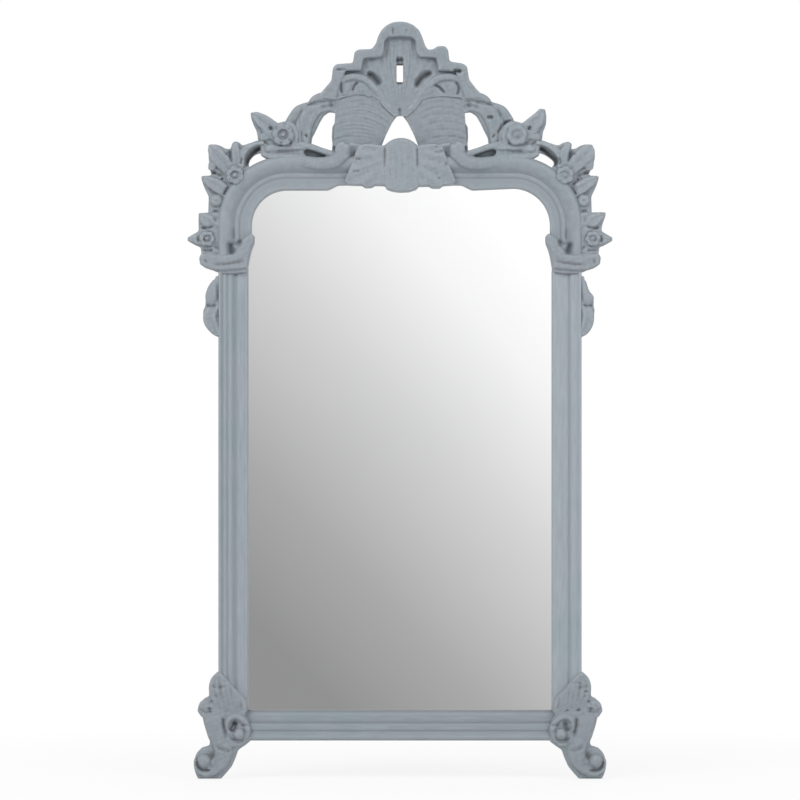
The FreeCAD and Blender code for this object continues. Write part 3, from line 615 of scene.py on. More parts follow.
def boardMaterial():
    # brown hardboard: pressed fibre, a little darker in drifts
    material, tree, shader, coords = newMaterial("hardboard")
    drift = noise(tree, coords, 7, 4)
    fibre = noise(tree, coords, 260, 5, (1, 1, 0.6))
    tone = mixed(tree, board["fibreShare"], ramp(tree, drift, board["tone"]),
                 ramp(tree, fibre, board["fibre"]), "OVERLAY")
    tree.links.new(tone, shader.inputs["Base Color"])
    shader.inputs["Roughness"].default_value = board["roughness"]
    bumped(tree, shader, fibre, board["bump"], board["bumpDistance"])
    return material


def softMaterial(name, dark, light, scale, roughness):
    # felt, foam or beech: two tones of a fine grain, with bump from the same grain
    material, tree, shader, coords = newMaterial(name)
    grain = noise(tree, coords, scale, soft["detail"])
    tree.links.new(ramp(tree, grain, [(0.3, dark), (0.7, light)]), shader.inputs["Base Color"])
    shader.inputs["Roughness"].default_value = roughness
    bumped(tree, shader, grain, soft["bump"], soft["bumpDistance"])
    return material


backFinishes = {
    "mirror_glass": metalMaterial("silveredGlass", glass["tint"], 3, 2, glass["haze"], 40),
    "backing_board": boardMaterial(),
    "glass_packing": softMaterial("packingFoam", (0.62, 0.62, 0.6), (0.74, 0.74, 0.71), 300, 0.9),
    "wall_bumpers": softMaterial("bumperFelt", (0.05, 0.048, 0.045), (0.1, 0.095, 0.09), 700, 0.95),
    "frame_dowels": softMaterial("beech", (0.42, 0.28, 0.15), (0.52, 0.36, 0.2), 60, 0.6),
    "crest_board": paints["carvedPaint"]}
zincPlate = metalMaterial("zincPlate", zinc["tone"], 130, 3, zinc["gloss"], 60)
for nodeName in ("board_screws", "strap_screws", "hanger_screws", "crest_strap_left", "crest_strap_right",
                 "hanger_strap_left", "hanger_strap_right", "hanger_ring_left", "hanger_ring_right"):
    backFinishes[nodeName] = zincPlate
for nodeName, finish in backFinishes.items():
    nodes[nodeName].data.materials.clear()
    nodes[nodeName].data.materials.append(finish)
print("finishes made")


# Mouldings. A section runs from the sight edge outward, in shares of the width and of the depth. A
# shade is (share of the section, amount): over zero lays painted shade, under zero the wear tone as a
# painted highlight

moulding = {
    "sightHalf": 0.241, "width": 0.047, "archWidth": 0.054, "archStep": 0.0055, "archRadius": 0.056,
    "riseHeight": 0.008, "riseHalf": 0.117, "riseRun": 0.022, "flatShare": 0.28,
    "rebateWidth": 0.010, "rebateDepth": 6.0, "depth": 32.0, "jointDrop": 0.072, "waviness": 0.00010,
    "lowerDrop": 0.060, "rightCorner": 0.0028, "sharpAngle": 0.9, "cutsFrom": 12.0}
stations = {"front": 130, "stile": 90, "rail": 70, "rise": 70, "run": 12, "turn": 40, "leg": 46}
stileLeft = {
    "section": [(0, 0.5), (0.015, 0.63), (0.04, 0.69), (0.065, 0.69), (0.09, 0.678), (0.115, 0.684),
        (0.14, 0.695), (0.29, 0.70), (0.32, 0.712), (0.345, 0.70), (0.385, 0.66), (0.425, 0.632),
        (0.46, 0.638), (0.50, 0.69), (0.54, 0.75), (0.58, 0.78), (0.62, 0.79), (0.655, 0.778),
        (0.685, 0.745), (0.71, 0.742), (0.735, 0.768), (0.765, 0.80), (0.80, 0.80), (0.83, 0.785),
        (0.855, 0.79), (0.885, 0.835), (0.91, 0.88), (0.94, 0.925), (0.965, 0.925), (0.99, 0.88),
        (1, 0.8)],
    # a faint painted highlight along the sight edge
    "shade": [(0, -0.2), (0.12, -0.1), (0.18, 0), (1, 0)],
    "paint": "stilePaintLeft",
    "width": moulding["width"], "rebate": moulding["rebateWidth"]}
stileRight = {
    "section": [(0, 0.5), (0.015, 0.63), (0.04, 0.69), (0.14, 0.695), (0.30, 0.70), (0.36, 0.695),
        (0.40, 0.68), (0.46, 0.687), (0.52, 0.68), (0.555, 0.645), (0.585, 0.64), (0.615, 0.69),
        (0.65, 0.745), (0.70, 0.765), (0.78, 0.785), (0.84, 0.80), (0.885, 0.845), (0.92, 0.895),
        (0.95, 0.93), (0.975, 0.925), (0.99, 0.88), (1, 0.8)],
    # a faint painted highlight along the sight edge, and a stronger one on the outer bead
    "shade": [(0, -0.2), (0.12, -0.1), (0.18, 0), (0.82, 0), (0.88, -0.4), (1, -0.6)],
    "paint": "stilePaintRight",
    "width": moulding["width"], "rebate": moulding["rebateWidth"]}
rail = {
    "section": [(0, 0.5), (0.03, 0.58), (0.10, 0.655), (0.14, 0.69), (0.29, 0.70), (0.35, 0.69),
        (0.39, 0.66), (0.42, 0.652), (0.455, 0.70), (0.50, 0.745), (0.61, 0.765), (0.645, 0.755),
        (0.67, 0.735), (0.695, 0.742), (0.73, 0.80), (0.79, 0.885), (0.87, 0.95), (0.93, 0.945),
        (0.98, 0.88), (1, 0.8)],
    # painted shade along the sight edge
    "shade": [(0, 0.75), (0.05, 0.75), (0.135, 0), (1, 0)],
    "paint": "railPaint",
    "width": moulding["width"], "rebate": moulding["rebateWidth"]}
arch = {
    "section": [(0, 0.5), (0.02, 0.62), (0.06, 0.67), (0.12, 0.685), (0.28, 0.69), (0.315, 0.685),
        (0.345, 0.67), (0.375, 0.68), (0.405, 0.70), (0.45, 0.705), (0.48, 0.695), (0.505, 0.69),
        (0.53, 0.715), (0.565, 0.77), (0.61, 0.84), (0.67, 0.91), (0.74, 0.965), (0.81, 0.995), (0.87, 1),
        (0.93, 0.965), (0.98, 0.87), (1, 0.78)],
    # painted highlight along the sight edge, and painted shade over the inner flat
    "shade": [(0, -1.0), (0.09, -0.8), (0.15, 0), (0.24, 0.25), (0.38, 0.3), (0.44, 0), (1, 0)],
    "cuts": [([(305.5, 152.4), (312, 155), (320, 157.6), (329, 158.8)], 3.6, 16.0),
        ([(230.4, 246.4), (231.4, 251.6)], 3.0, 11.0), ([(236.8, 244.8), (240.6, 242.6)], 2.2, 3.6),
        ([(233.4, 228), (234.2, 240)], 1.6, 1.6)],
    "paint": "archPaint",
    "width": moulding["archWidth"], "rebate": moulding["rebateWidth"] + moulding["archStep"]}

sightBottom = cadLow.z + moulding["lowerDrop"] + moulding["width"]
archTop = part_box("arch_left")[1].z
sightTop = archTop - moulding["archWidth"]
archCentreX = moulding["sightHalf"] - moulding["archStep"] - moulding["archRadius"]
archCentreZ = sightTop - moulding["archRadius"]
jointZ = archCentreZ - moulding["jointDrop"]


def sectionLoop(shares, width, rebate):
    # closed loop of (outward, height): the eased front line, then the back with its rebate
    front = cornered(np.array(shares) * (width / millimetre, moulding["depth"]), stations["front"], 2)
    steps = np.array([(width / millimetre, 0), (rebate / millimetre, 0),
                      (rebate / millimetre, moulding["rebateDepth"]), (0, moulding["rebateDepth"])])
    return np.vstack([front, steps])


def wavering(points, seed):
    # the slight unevenness of hand finishing: a few slow sines of position, under a third of a millimetre
    x, z = points[..., 0], points[..., 2]
    wave = (np.sin(31 * z + 17 * x + seed) + np.sin(67 * z - 23 * x + 2 * seed)
            + 0.7 * np.sin(131 * z + 89 * x + 3 * seed)) * moulding["waviness"]
    points[..., 1] += np.where(points[..., 1] < backY - 0.01, wave, 0)
    return points


def sectionHollow(loops, shade, reach=8):
    # the hollow value of a moulding follows its section alone: how far each point of the front lies
    # under the mean height round it, and the shade; the paint lays it as painted shade in the grooves and
    # painted highlight where it is under zero
    count, size = loops.shape[:2]
    front = size - 4
    heights = aboveBack(loops)[:, :front]
    padded = np.pad(heights, ((0, 0), (reach, reach)), mode="edge")
    running = np.cumsum(np.pad(padded, ((0, 0), (1, 0))), axis=1)
    window = 2 * reach + 1
    mean = (running[:, window:] - running[:, :-window]) / window
    added = np.interp(np.linspace(0, 1, front), *np.array(shade, float).T)
    hollow = np.zeros((count, size))
    hollow[:, :front] = np.clip((mean - heights) * 0.75 + added, -1, 1)
    return hollow


def member(name, node, form, positions, seed, side, turned=False):
    # section points at every station, joined into a closed skin: positions(outward) gives their x
    # and z. The cuts are those of the left side, so the right side is pressed as its mirror image
    section = sectionLoop(form["section"], form["width"], form["rebate"])
    outward, height = section.T
    x, z = positions(outward * millimetre)
    loops = np.stack([x, (backY - height * millimetre) * np.ones_like(x), z], axis=-1)
    if turned:
        loops = loops[::-1]
    flat = loops.reshape(-1, 3) * (side, 1, 1)
    flat = cut(flat, form.get("cuts", []), moulding["cutsFrom"]) * (side, 1, 1)
    loops = wavering(flat.reshape(loops.shape), seed)
    points, faces = rings(loops)
    mesh = bpy.data.meshes.new(name)
    mesh.from_pydata(points.tolist(), [], faces)
    piece = framePiece(name, mesh, node, paints[form["paint"]],
                       sectionHollow(loops, form["shade"]))
    piece.data.set_sharp_from_angle(angle=moulding["sharpAngle"])


def smoothStep(share):
    # nought to one with a level start and end
    share = np.clip(share, 0, 1)
    return share * share * (3 - 2 * share)


def stilePositions(side):
    # from the mitre at the foot up to the joint
    def place(outward):
        low = sightBottom - outward
        t = np.linspace(0, 1, stations["stile"])[:, None]
        x = side * (moulding["sightHalf"] + outward) * np.ones_like(t)
        return x, low * (1 - t) + jointZ * t
    return place


def railPositions(outward):
    # from mitre to mitre
    reach = moulding["sightHalf"] + outward
    t = np.linspace(-1, 1, stations["rail"])[:, None]
    return reach * t, (sightBottom - outward) * np.ones_like(t)


def archPositions(side):
    # along the top to the turn, round it and down to the joint; in the raised middle, and behind the
    # collar where it meets the stile, the inner flat is squeezed towards the first groove; so it is
    # at the right corner, which is cut a little wider than the left
    def place(outward):
        flat = moulding["flatShare"] * moulding["archWidth"]
        inner = np.clip(1 - outward / flat, 0, 1)
        wider = moulding["rightCorner"] * (side > 0) * inner
        radius = moulding["archRadius"] + outward + wider
        raisedRuns = np.linspace(0, moulding["riseHalf"] + 0.01, stations["rise"])
        levelRuns = np.linspace(moulding["riseHalf"] + 0.012, archCentreX, stations["run"])
        runs = np.concatenate([raisedRuns, levelRuns])[:, None]
        rise = moulding["riseHeight"] * smoothStep((moulding["riseHalf"] - runs) / moulding["riseRun"])
        raised = np.where(outward < flat, rise + outward * (1 - rise / flat), outward)
        begun = np.clip((runs - moulding["riseHalf"]) / (archCentreX - moulding["riseHalf"]), 0, 1)
        angle = np.radians(np.linspace(90, 180, stations["turn"])[1:])[:, None]
        down = np.linspace(0, 1, stations["leg"])[1:, None]
        step = moulding["archStep"] * smoothStep((down - 0.5) / 0.25) * inner
        xs = [side * runs * np.ones_like(outward), side * (archCentreX - radius * np.cos(angle)),
              side * (archCentreX + radius + step)]
        zs = [sightTop + raised + wider * begun, archCentreZ + radius * np.sin(angle),
              archCentreZ - moulding["jointDrop"] * down * np.ones_like(outward)]
        return np.concatenate(xs), np.concatenate(zs)
    return place


member("stileLeft", "stile_left", stileLeft, stilePositions(-1), 1.0, 1, True)
member("stileRight", "stile_right", stileRight, stilePositions(1), 2.0, -1)
member("bottomRail", "bottom_rail", rail, railPositions, 3.0, 1)
member("archLeft", "arch_left", arch, archPositions(-1), 4.0, 1)
member("archRight", "arch_right", arch, archPositions(1), 5.0, -1, True)
print("mouldings made")


# Crest

def rimHeight(s, v, px, py):
    # highest at the ridge, a little inside the outer edge, and lower down both flanks
    flank = np.clip((py - cartouche["flankFrom"]) / cartouche["flankRun"], 0, 1)
    rounded = cartouche["crown"] * (v - cartouche["ridge"]) ** 2
    return cartouche["height"] - rounded - cartouche["flankDrop"] * flank


cartouche = {
    "pair": False,
    "height": 33.5, "crown": 1.6, "ridge": 0.35,
    "flankFrom": 66, "flankRun": 34, "flankDrop": 3.5,
    "spans": {
        "rim": (
            [(317, 98), (325, 88.5), (331.5, 81), (333, 68), (336.5, 64.5), (353, 63.5), (354.5, 52.5),
             (358, 50), (372, 49.5), (376, 44), (378, 37), (381.5, 30.5), (387, 25.5), (393, 22.8),
             (400, 22), (407, 22.8), (413, 25.3), (419, 30.5), (422.5, 38), (425, 46), (428, 50.5),
             (434, 49.5), (437, 46.7), (445, 46.5), (448, 50), (449.5, 62), (463, 64), (467, 67),
             (469, 80), (476, 89), (485, 98)],
            [(336, 100), (340, 86), (344, 77), (345.5, 71.5), (361.5, 71), (364, 59), (380.5, 58),
             (384, 53), (385, 41), (388, 38.4), (400, 37.6), (412, 38.4), (415, 41), (416, 53),
             (419.5, 57.8), (436, 58.6), (438, 71.5), (455, 72), (458, 78), (460.5, 87), (465, 99)],
            rimHeight, 11.0, 3.4, 320, 21, 5)},
    "slabs": {
        "leftLobe": ([(335, 101), (339, 86), (344, 77), (352, 73.5), (362, 74), (370, 77), (377, 84),
            (383, 93), (390, 104), (400, 114), (388, 108), (380, 101), (370, 95.5), (356, 95),
            (342, 98)], 26.5, 11.0, 3.5, 3),
        "rightLobe": ([(466, 101), (462, 86), (457, 77), (448, 73.5), (439, 74), (431, 77), (424, 84),
            (418, 93), (411, 104), (401, 114), (413, 108), (421, 101), (431, 97.5), (445, 97),
            (459, 98)], 26.5, 11.0, 3.5, 3)},
    "strokes": {
        "leftCurl": ([(338, 99, 26, 2.6), (338.6, 88, 28.5, 3), (343, 80.5, 30, 3.4),
            (352, 77.4, 30.5, 3.6), (362, 78.6, 30.5, 3.8), (370.5, 84, 29.5, 4), (379, 94, 28, 3.8),
            (390, 108, 25, 2.2)], 11, 3.6, 0.2),
        "rightCurl": ([(463.4, 99, 26, 2.6), (462.4, 88, 28.5, 3), (458, 80.5, 30, 3.4),
            (449, 77.4, 30.5, 3.6), (439, 78.6, 30.5, 3.8), (430.5, 84, 29.5, 4), (422, 94, 28, 3.8),
            (411, 108, 25, 2.2)], 11, 3.6, 0.2),
        "leftFold": ([(347, 83, 27.5, 3.6), (347.4, 89, 28.5, 4), (347, 95, 26, 3)], 11, 3.4, 0.2),
        "leftTongue": ([(359, 84.5, 27.5, 4), (364, 89.5, 28.6, 5), (371, 95, 26, 3.6)], 11, 3.4, 0.2),
        "rightFold": ([(451, 83, 27.5, 3.6), (451, 89, 28.5, 4), (451, 95, 26, 3)], 11, 3.4, 0.2),
        "rightTongue": ([(432, 88, 27.5, 3.6), (427, 92, 28.6, 4.4), (420, 98, 26, 3.6)], 11, 3.4, 0.2)},
    "cuts": [([(341.6, 82), (341, 88), (342.4, 94.5)], 1.3, 3.8),
        ([(358, 82.3), (354.5, 86), (352.6, 91.5)], 1.3, 3.4),
        ([(367.5, 74.2), (374, 77.2), (378.4, 82), (380.8, 88)], 2.8, 13.0),
        ([(341, 95.6), (349, 95.4)], 1.0, 1.6), ([(336, 70), (347.5, 70.4)], 1.2, 2.6),
        ([(393, 28.2), (393, 35.4)], 0.9, 1.9),
        ([(434, 84.8), (438.5, 87), (442, 90.3), (445.5, 93.5)], 1.5, 5.0),
        ([(455, 81), (458.2, 86), (458.6, 91), (456.6, 95.5)], 1.3, 3.6),
        ([(432, 72.6), (424.6, 76.4), (419.6, 81.4), (416, 87.4)], 2.9, 13.0),
        ([(452.5, 71.6), (462, 71.8)], 1.8, 9.0), ([(438, 71), (452, 71.4)], 1.0, 2.0),
        ([(406.6, 29.4), (405.8, 35.4)], 0.9, 1.5), ([(386.5, 39.4), (413.5, 39.4)], 2.3, 3.4),
        ([(365, 59.6), (383, 59.4)], 1.8, 2.6), ([(419, 59.4), (436, 59.6)], 1.8, 2.8),
        ([(386, 41), (385.4, 53)], 1.6, 2.0), ([(414.8, 41), (415.2, 53)], 1.6, 2.0),
        ([(364.6, 61), (363.4, 70)], 1.5, 1.6), ([(436.4, 61), (437.4, 70)], 1.5, 1.6),
        ([(346, 72.4), (360, 72)], 1.6, 1.8)]}
carve("crestCartouche", "crest_cartouche", cartouche)


def fanHeight(s, v, px, py):
    # hollow fan under the rim: shallow flutes spread from the hinge, and it sinks towards the rim
    across, down = px - plume["hinge"][0], plume["hinge"][1] - py
    angle = np.degrees(np.arctan2(across, down))
    away = np.hypot(across, down)
    flutes = np.cos(2 * np.pi * angle / plume["fluteDegrees"]) * np.clip(away / plume["fluteRun"], 0, 1)
    sunk = plume["sink"] * np.clip((away - plume["sinkFrom"]) / plume["sinkRun"], 0, 1)
    return plume["height"] - sunk + plume["flute"] * flutes - plume["sideFall"] * across ** 2


plume = {
    "pair": False, "voxel": 0.9,
    "hinge": (400, 118), "height": 26.5, "flute": 0.55, "fluteDegrees": 7.5, "fluteRun": 24,
    "sinkFrom": 46, "sinkRun": 26, "sink": 5.0, "sideFall": 0.0009,
    "streaks": (-17, -12.5, -8, -3.5, 4, 8.5, 13, 17.5),
    "streakShares": ((0.18, 103), (0.62, 78), (0.8, 60), (0.72, 42)),
    "spans": {
        "leftFan": (
            [(394, 117), (384, 108), (378, 99), (373, 91), (366, 83), (357, 77), (342, 74), (345, 69),
             (360, 69), (362, 56), (380, 55), (384, 47), (385, 39), (390, 36)],
            [(400, 116), (398.5, 106), (397, 96), (396.6, 87), (396.4, 80), (396.4, 72), (396.4, 65),
             (397, 60), (398.5, 57), (399, 48), (400, 36)],
            fanHeight, 11.0, 1.4, 120, 51, 3),
        "rightFan": (
            [(407, 117), (417, 108), (423, 99), (428, 91), (435, 83), (444, 77), (457, 75), (456, 70),
             (440, 69), (437, 56), (420, 55), (416, 47), (415, 39), (410, 36)],
            [(400, 116), (401, 106), (402.4, 96), (402.9, 87), (403.1, 80), (403.1, 72), (403.1, 65),
             (402.5, 60), (401, 57), (400.5, 48), (400, 36)],
            fanHeight, 11.0, 1.4, 120, 51, 3),
        "root": (
            [(398.5, 116), (394, 92), (392.5, 84)],
            [(401.5, 116), (405.5, 92), (407, 84)],
            fanHeight, 11.0, 1.4, 50, 31, 1),
        "feather": (
            [(388, 35), (389, 48), (391.5, 63.5)],
            [(412, 35), (411, 48), (408, 63.5)],
            fanHeight, 11.0, 1.4, 50, 31, 1)},
    "cuts": [([(396, 60.5), (403.4, 60.5)], 3.0, 10.0), ([(397.6, 84), (401.6, 84)], 1.5, 4.5),
        ([(395.6, 66), (395.6, 80)], 1.2, 1.4), ([(404, 66), (404, 80)], 1.2, 1.4),
        ([(366.5, 73.4), (373, 76.6), (377.4, 81), (379.8, 86)], 3.0, 13.0),
        ([(432.4, 72.2), (424.5, 75.8), (419, 81), (415.6, 88)], 3.1, 13.0),
        ([(399.4, 108), (400.2, 117)], 1.7, 3.2)]}
for spread in plume["streaks"]:
    # streaks run up from the hinge, each by its own share of the fan's width at four heights
    streak = [(plume["hinge"][0] + spread * share, row) for share, row in plume["streakShares"]]
    plume["cuts"].append((streak, 0.9, 0.75))
carve("crestPlume", "crest_plume", plume)


def wingHeight(s, v, px, py):
    # shell flutes: flat ribs parted by narrow grooves, unevenly spaced as the carver left them, on a
    # form that swells in the middle and sinks at the edge of the middle gap
    grooves = sum(np.exp(-((v - place) / wing["grooveWidth"]) ** 2) for place in wing["grooves"])
    ribs = wing["wave"] * np.cos(2 * np.pi * wing["waves"] * v)
    swell = np.sin(np.pi * (0.18 + 0.62 * s)) * (0.7 + 0.3 * np.sin(np.pi * v))
    sunk = wing["grooveDepth"] * grooves * np.clip((1.02 - s) / 0.4, 0, 1)
    return wing["height"] + wing["swell"] * swell - sunk + ribs


def wingLine(v, first, last, width, depth):
    # a finer groove at a share v of the way from the top line to the foot line
    top, foot = wing["spans"]["shell"][:2]
    a, b = cornered(top, 40, 8), cornered(foot, 40, 8)
    line = (a * (1 - v) + b * v)[int(40 * first):int(40 * last):5]
    return [tuple(point) for point in line], width, depth


wing = {
    "voxel": 0.9, "height": 20.5, "swell": 5.4, "wave": 0.3, "waves": 7.2,
    "grooves": [0.15, 0.27, 0.40, 0.55, 0.70, 0.84], "grooveWidth": 0.026, "grooveDepth": 1.6,
    "spans": {
        "shell": (
            [(336, 100), (342, 97), (352, 94.5), (362, 93.5), (371, 94.5), (379, 98.5), (388, 106),
             (396, 115)],
            [(333, 148), (343, 145), (356, 145), (368, 145.5), (380.5, 146)],
            wingHeight, 11.0, 2.4, 130, 150, 8)},
    "slabs": {
        "ground": ([(333, 148), (343, 143), (366, 146), (381.5, 146), (386, 135), (392, 123), (397, 115),
            (386, 102), (374, 94.5), (356, 94), (341, 97.5), (336.5, 101), (336.5, 113), (335.8, 121),
            (332.2, 127), (331.8, 138)], 18.5, 11.0, 3.0, 3)},
    "fineGrooves": [(0.09, 0.45, 1.0, 1.2, 1.1), (0.21, 0.3, 1.0, 1.2, 1.1), (0.335, 0.2, 1.0, 1.2, 1.0),
        (0.475, 0.4, 1.0, 1.2, 1.0), (0.625, 0.1, 0.8, 1.2, 0.9), (0.77, 0.3, 0.9, 1.2, 0.9)],
    "cuts": [([(333.2, 146), (333.6, 151)], 1.6, 4.0),
        ([(337, 102), (337.5, 113), (333.8, 129), (333.6, 144)], 1.4, 0.9),
        ([(372, 94), (381, 98.6), (390, 107)], 1.4, 1.4)]}
wing["leftCuts"] = [wingLine(*groove) for groove in wing["fineGrooves"]]
carve("shellWing", "shell_wing", wing)

crestLeaf = {
    "slabs": {
        "ground": ([(339, 98), (330, 92), (321, 93.6), (312.5, 96.4), (308.8, 101.8), (300, 104.3),
            (294.5, 110), (290, 117), (285, 122), (289, 130), (293, 140), (294, 149), (308.5, 149),
            (311.5, 143.5), (312, 138), (315.8, 130.7), (319.4, 123), (323.7, 115.7), (329.3, 112),
            (336.4, 113), (338.5, 106)], 24.0, 3, 4.0, 3)},
    "strokes": {
        "upperLeaf": ([(336, 97.5, 26.5, 4), (325, 96.8, 28.5, 4.6), (316.5, 98.4, 28.5, 3.8),
            (310.6, 102, 26.5, 2.4)], 3, 4, 0.15),
        "longLeaf": ([(334, 105.5, 26, 4), (322, 107.6, 27, 5.4), (312, 113, 28.4, 7.4),
            (305.4, 123, 29, 8.6), (303, 135, 28, 8), (302.6, 147, 26, 6.8)], 3, 4.4, -0.04, 0.9),
        "outerLeaf": ([(307, 106.4, 26.5, 3), (299, 110, 28, 4.6), (293, 117.4, 28, 4.6),
            (288.4, 123, 26, 3.4)], 3, 4, 0.15)},
    "cuts": [([(306, 104.6), (315, 104.6), (326, 102.4)], 1.2, 2.2),
        ([(321, 107), (334, 105.5)], 3.0, 3.4), ([(301.6, 131), (301.6, 138), (302.4, 144)], 1.4, 2.0),
        ([(306, 135.5), (307, 137)], 1.3, 3.0), ([(303, 107), (299.5, 117), (299.6, 129)], 1.5, 1.6),
        ([(318, 112), (313, 122), (310.5, 132)], 1.4, 1.2),
        ([(292, 126), (297, 132), (298, 143)], 1.8, 2.0),
        ([(328.5, 103), (332.5, 105.6), (336.5, 110)], 3.2, 3.2)],
    "rightCuts": [([(306.5, 117.6), (313.5, 117.6)], 1.8, 5.0),
        ([(288, 120.5), (296, 124), (303, 134)], 1.6, 5.0)]}
carve("crestLeaf", "crest_leaf", crestLeaf)

scroll = {
    "slabs": {
        "curl": ([(343, 145), (350, 142.6), (363, 145), (363, 159), (352, 164),
            (343, 159)], 29.5, 7.5, 3.0, 4),
        "ground": ([(292, 148), (309, 147.5), (320, 150), (333, 154), (350, 150), (352, 158), (340, 167),
            (318, 167), (294, 162)], 13.5, 3.0, 2.5, 3)},
    "strokes": {
        "body": ([(288, 160, 31, 6), (303, 162, 32.5, 6.4), (320, 164, 34.5, 6.6), (334, 162, 37.5, 7),
            (343, 154.5, 39, 7.4), (344, 148, 38.5, 5.5)], 3, 4.5, 0.3, 0.0, 70),
        "upperRidge": ([(294, 146.5, 28, 4), (303, 145.5, 29.5, 3.6), (312, 147.4, 30, 3.2),
            (321, 150.6, 30.5, 3.0), (331, 154, 32, 3.2), (337, 156, 33, 3.4)], 3, 3.0, 0.35)},
    "balls": {
        "eye": (342.6, 150, 34.6, 7.8, 0.34)},
    "cuts": [([(344, 142.8), (350.5, 143.2)], 1.6, 4.0),
        ([(350.6, 144.6), (349.8, 151), (346, 156.4)], 2.0, 1.4),
        ([(353.6, 146), (354, 154), (349.6, 161.5), (341, 167)], 3.2, 4.0)],
    "paints": ("palePaint", "palePaint")}
carve("archScroll", "arch_scroll", scroll)


def valanceHeight(s, v, px, py):
    # folds that spread from the top of the drop, on a form that sinks towards both outer ends
    away = np.abs(px - valance["foldsFrom"][0])
    turn = np.degrees(np.arctan2(py - valance["foldsFrom"][1], away + valance["foldsOut"]))
    folds = np.cos(2 * np.pi * (turn - valance["foldTurn"]) / valance["foldDegrees"])
    folded = valance["fold"] * folds * np.clip((away - valance["foldStart"]) / valance["foldRun"], 0, 1)
    sunk = np.clip((away - valance["sinkFrom"]) / valance["sinkRun"], 0, 1) ** valance["sinkPower"]
    return valance["height"] - valance["sink"] * sunk + folded


valance = {
    "pair": False, "paints": ("palestPaint",), "height": 38.0,
    "foldsFrom": (400, 152), "foldsOut": 6, "fold": 1.15, "foldDegrees": 15.5, "foldTurn": 4,
    "foldStart": 17, "foldRun": 16, "sinkFrom": 30, "sinkRun": 25, "sink": 6.5, "sinkPower": 1.6,
    "flutes": (390.5, 395.8, 402.2, 408.2, 412.6), "fluteTop": 152, "fluteFoot": 182,
    "spans": {
        "folds": (
            [(356, 153), (357.8, 147.4), (364, 144.4), (374, 144.8), (382, 146), (400, 146), (418, 146),
             (426, 144.8), (436, 144.4), (442.6, 147.4), (444.4, 153)],
            [(344.5, 182), (348, 185), (362, 185.2), (365, 187.6), (372, 187.4), (374.5, 185.2),
             (384, 185.4), (400, 187), (418, 186.2), (429, 186), (432, 188), (440, 188), (443, 185.4),
             (453, 185), (456, 182)],
            valanceHeight, 7.5, 3.2, 200, 60, 3)},
    "slabs": {
        "drop": ([(385, 147.4), (389, 144), (395, 141), (401.5, 139.3), (408, 141), (413.5, 144),
            (417, 147.4), (417.5, 165), (417.6, 182), (418.8, 186), (416.5, 189), (409.5, 191.4),
            (400, 192), (392, 190.8), (386.5, 188.8), (384.4, 184), (384.6, 165)], 39.2, 7.5, 2.6, 2)},
    "strokes": {
        "brow": ([(386, 147.5, 37, 2.4), (393, 143.4, 38.3, 3.2), (401, 141.8, 38.8, 3.4),
            (409, 143.4, 38.3, 3.2), (416, 147.5, 37, 2.4)], 7.5, 3.4, 0.3)},
    "cuts": [([(385.0, 146), (384.8, 155), (384.6, 168)], 1.4, 2.4),
        ([(416.9, 146), (417.2, 156), (417.2, 170)], 1.4, 2.2), ([(355, 159.2), (361, 159.6)], 1.6, 2.2),
        ([(352.5, 172), (360, 171.4)], 1.6, 2.2), ([(433, 152.4), (439, 152.6), (445, 150.5)], 1.7, 2.4),
        ([(434, 147.2), (442, 148)], 1.5, 1.2), ([(444.5, 164.3), (450, 164)], 1.6, 2.2),
        ([(437.5, 178.8), (441, 178.6)], 1.4, 1.6)]}
for flute in valance["flutes"]:
    valance["cuts"].append(([(flute, valance["fluteTop"]), (flute + 0.3, valance["fluteFoot"])], 1.9, 0.8))
carve("centreValance", "centre_valance", valance)
print("crest made")


# Shoulders

rosette = {
    "blooms": {"flower": (283.3, 135.3, 11.2, 6, 0.6, 3.6)},
    "leftCuts": [([(274.5, 127), (278, 130)], 1.2, 1.4), ([(292, 127), (289, 130.5)], 1.2, 1.2),
        ([(292.5, 142), (289, 140)], 1.2, 1.4), ([(281, 146), (281.6, 142)], 1.2, 1.2)],
    "rightCuts": [([(274, 129), (280, 123.5), (288, 124.5), (292.5, 131)], 1.6, -0.8)],
    "voxel": 0.8, "rounds": 3, "blunt": 44, "paints": ("palePaint", "palestPaint")}
carve("rosette", "rosette", rosette)

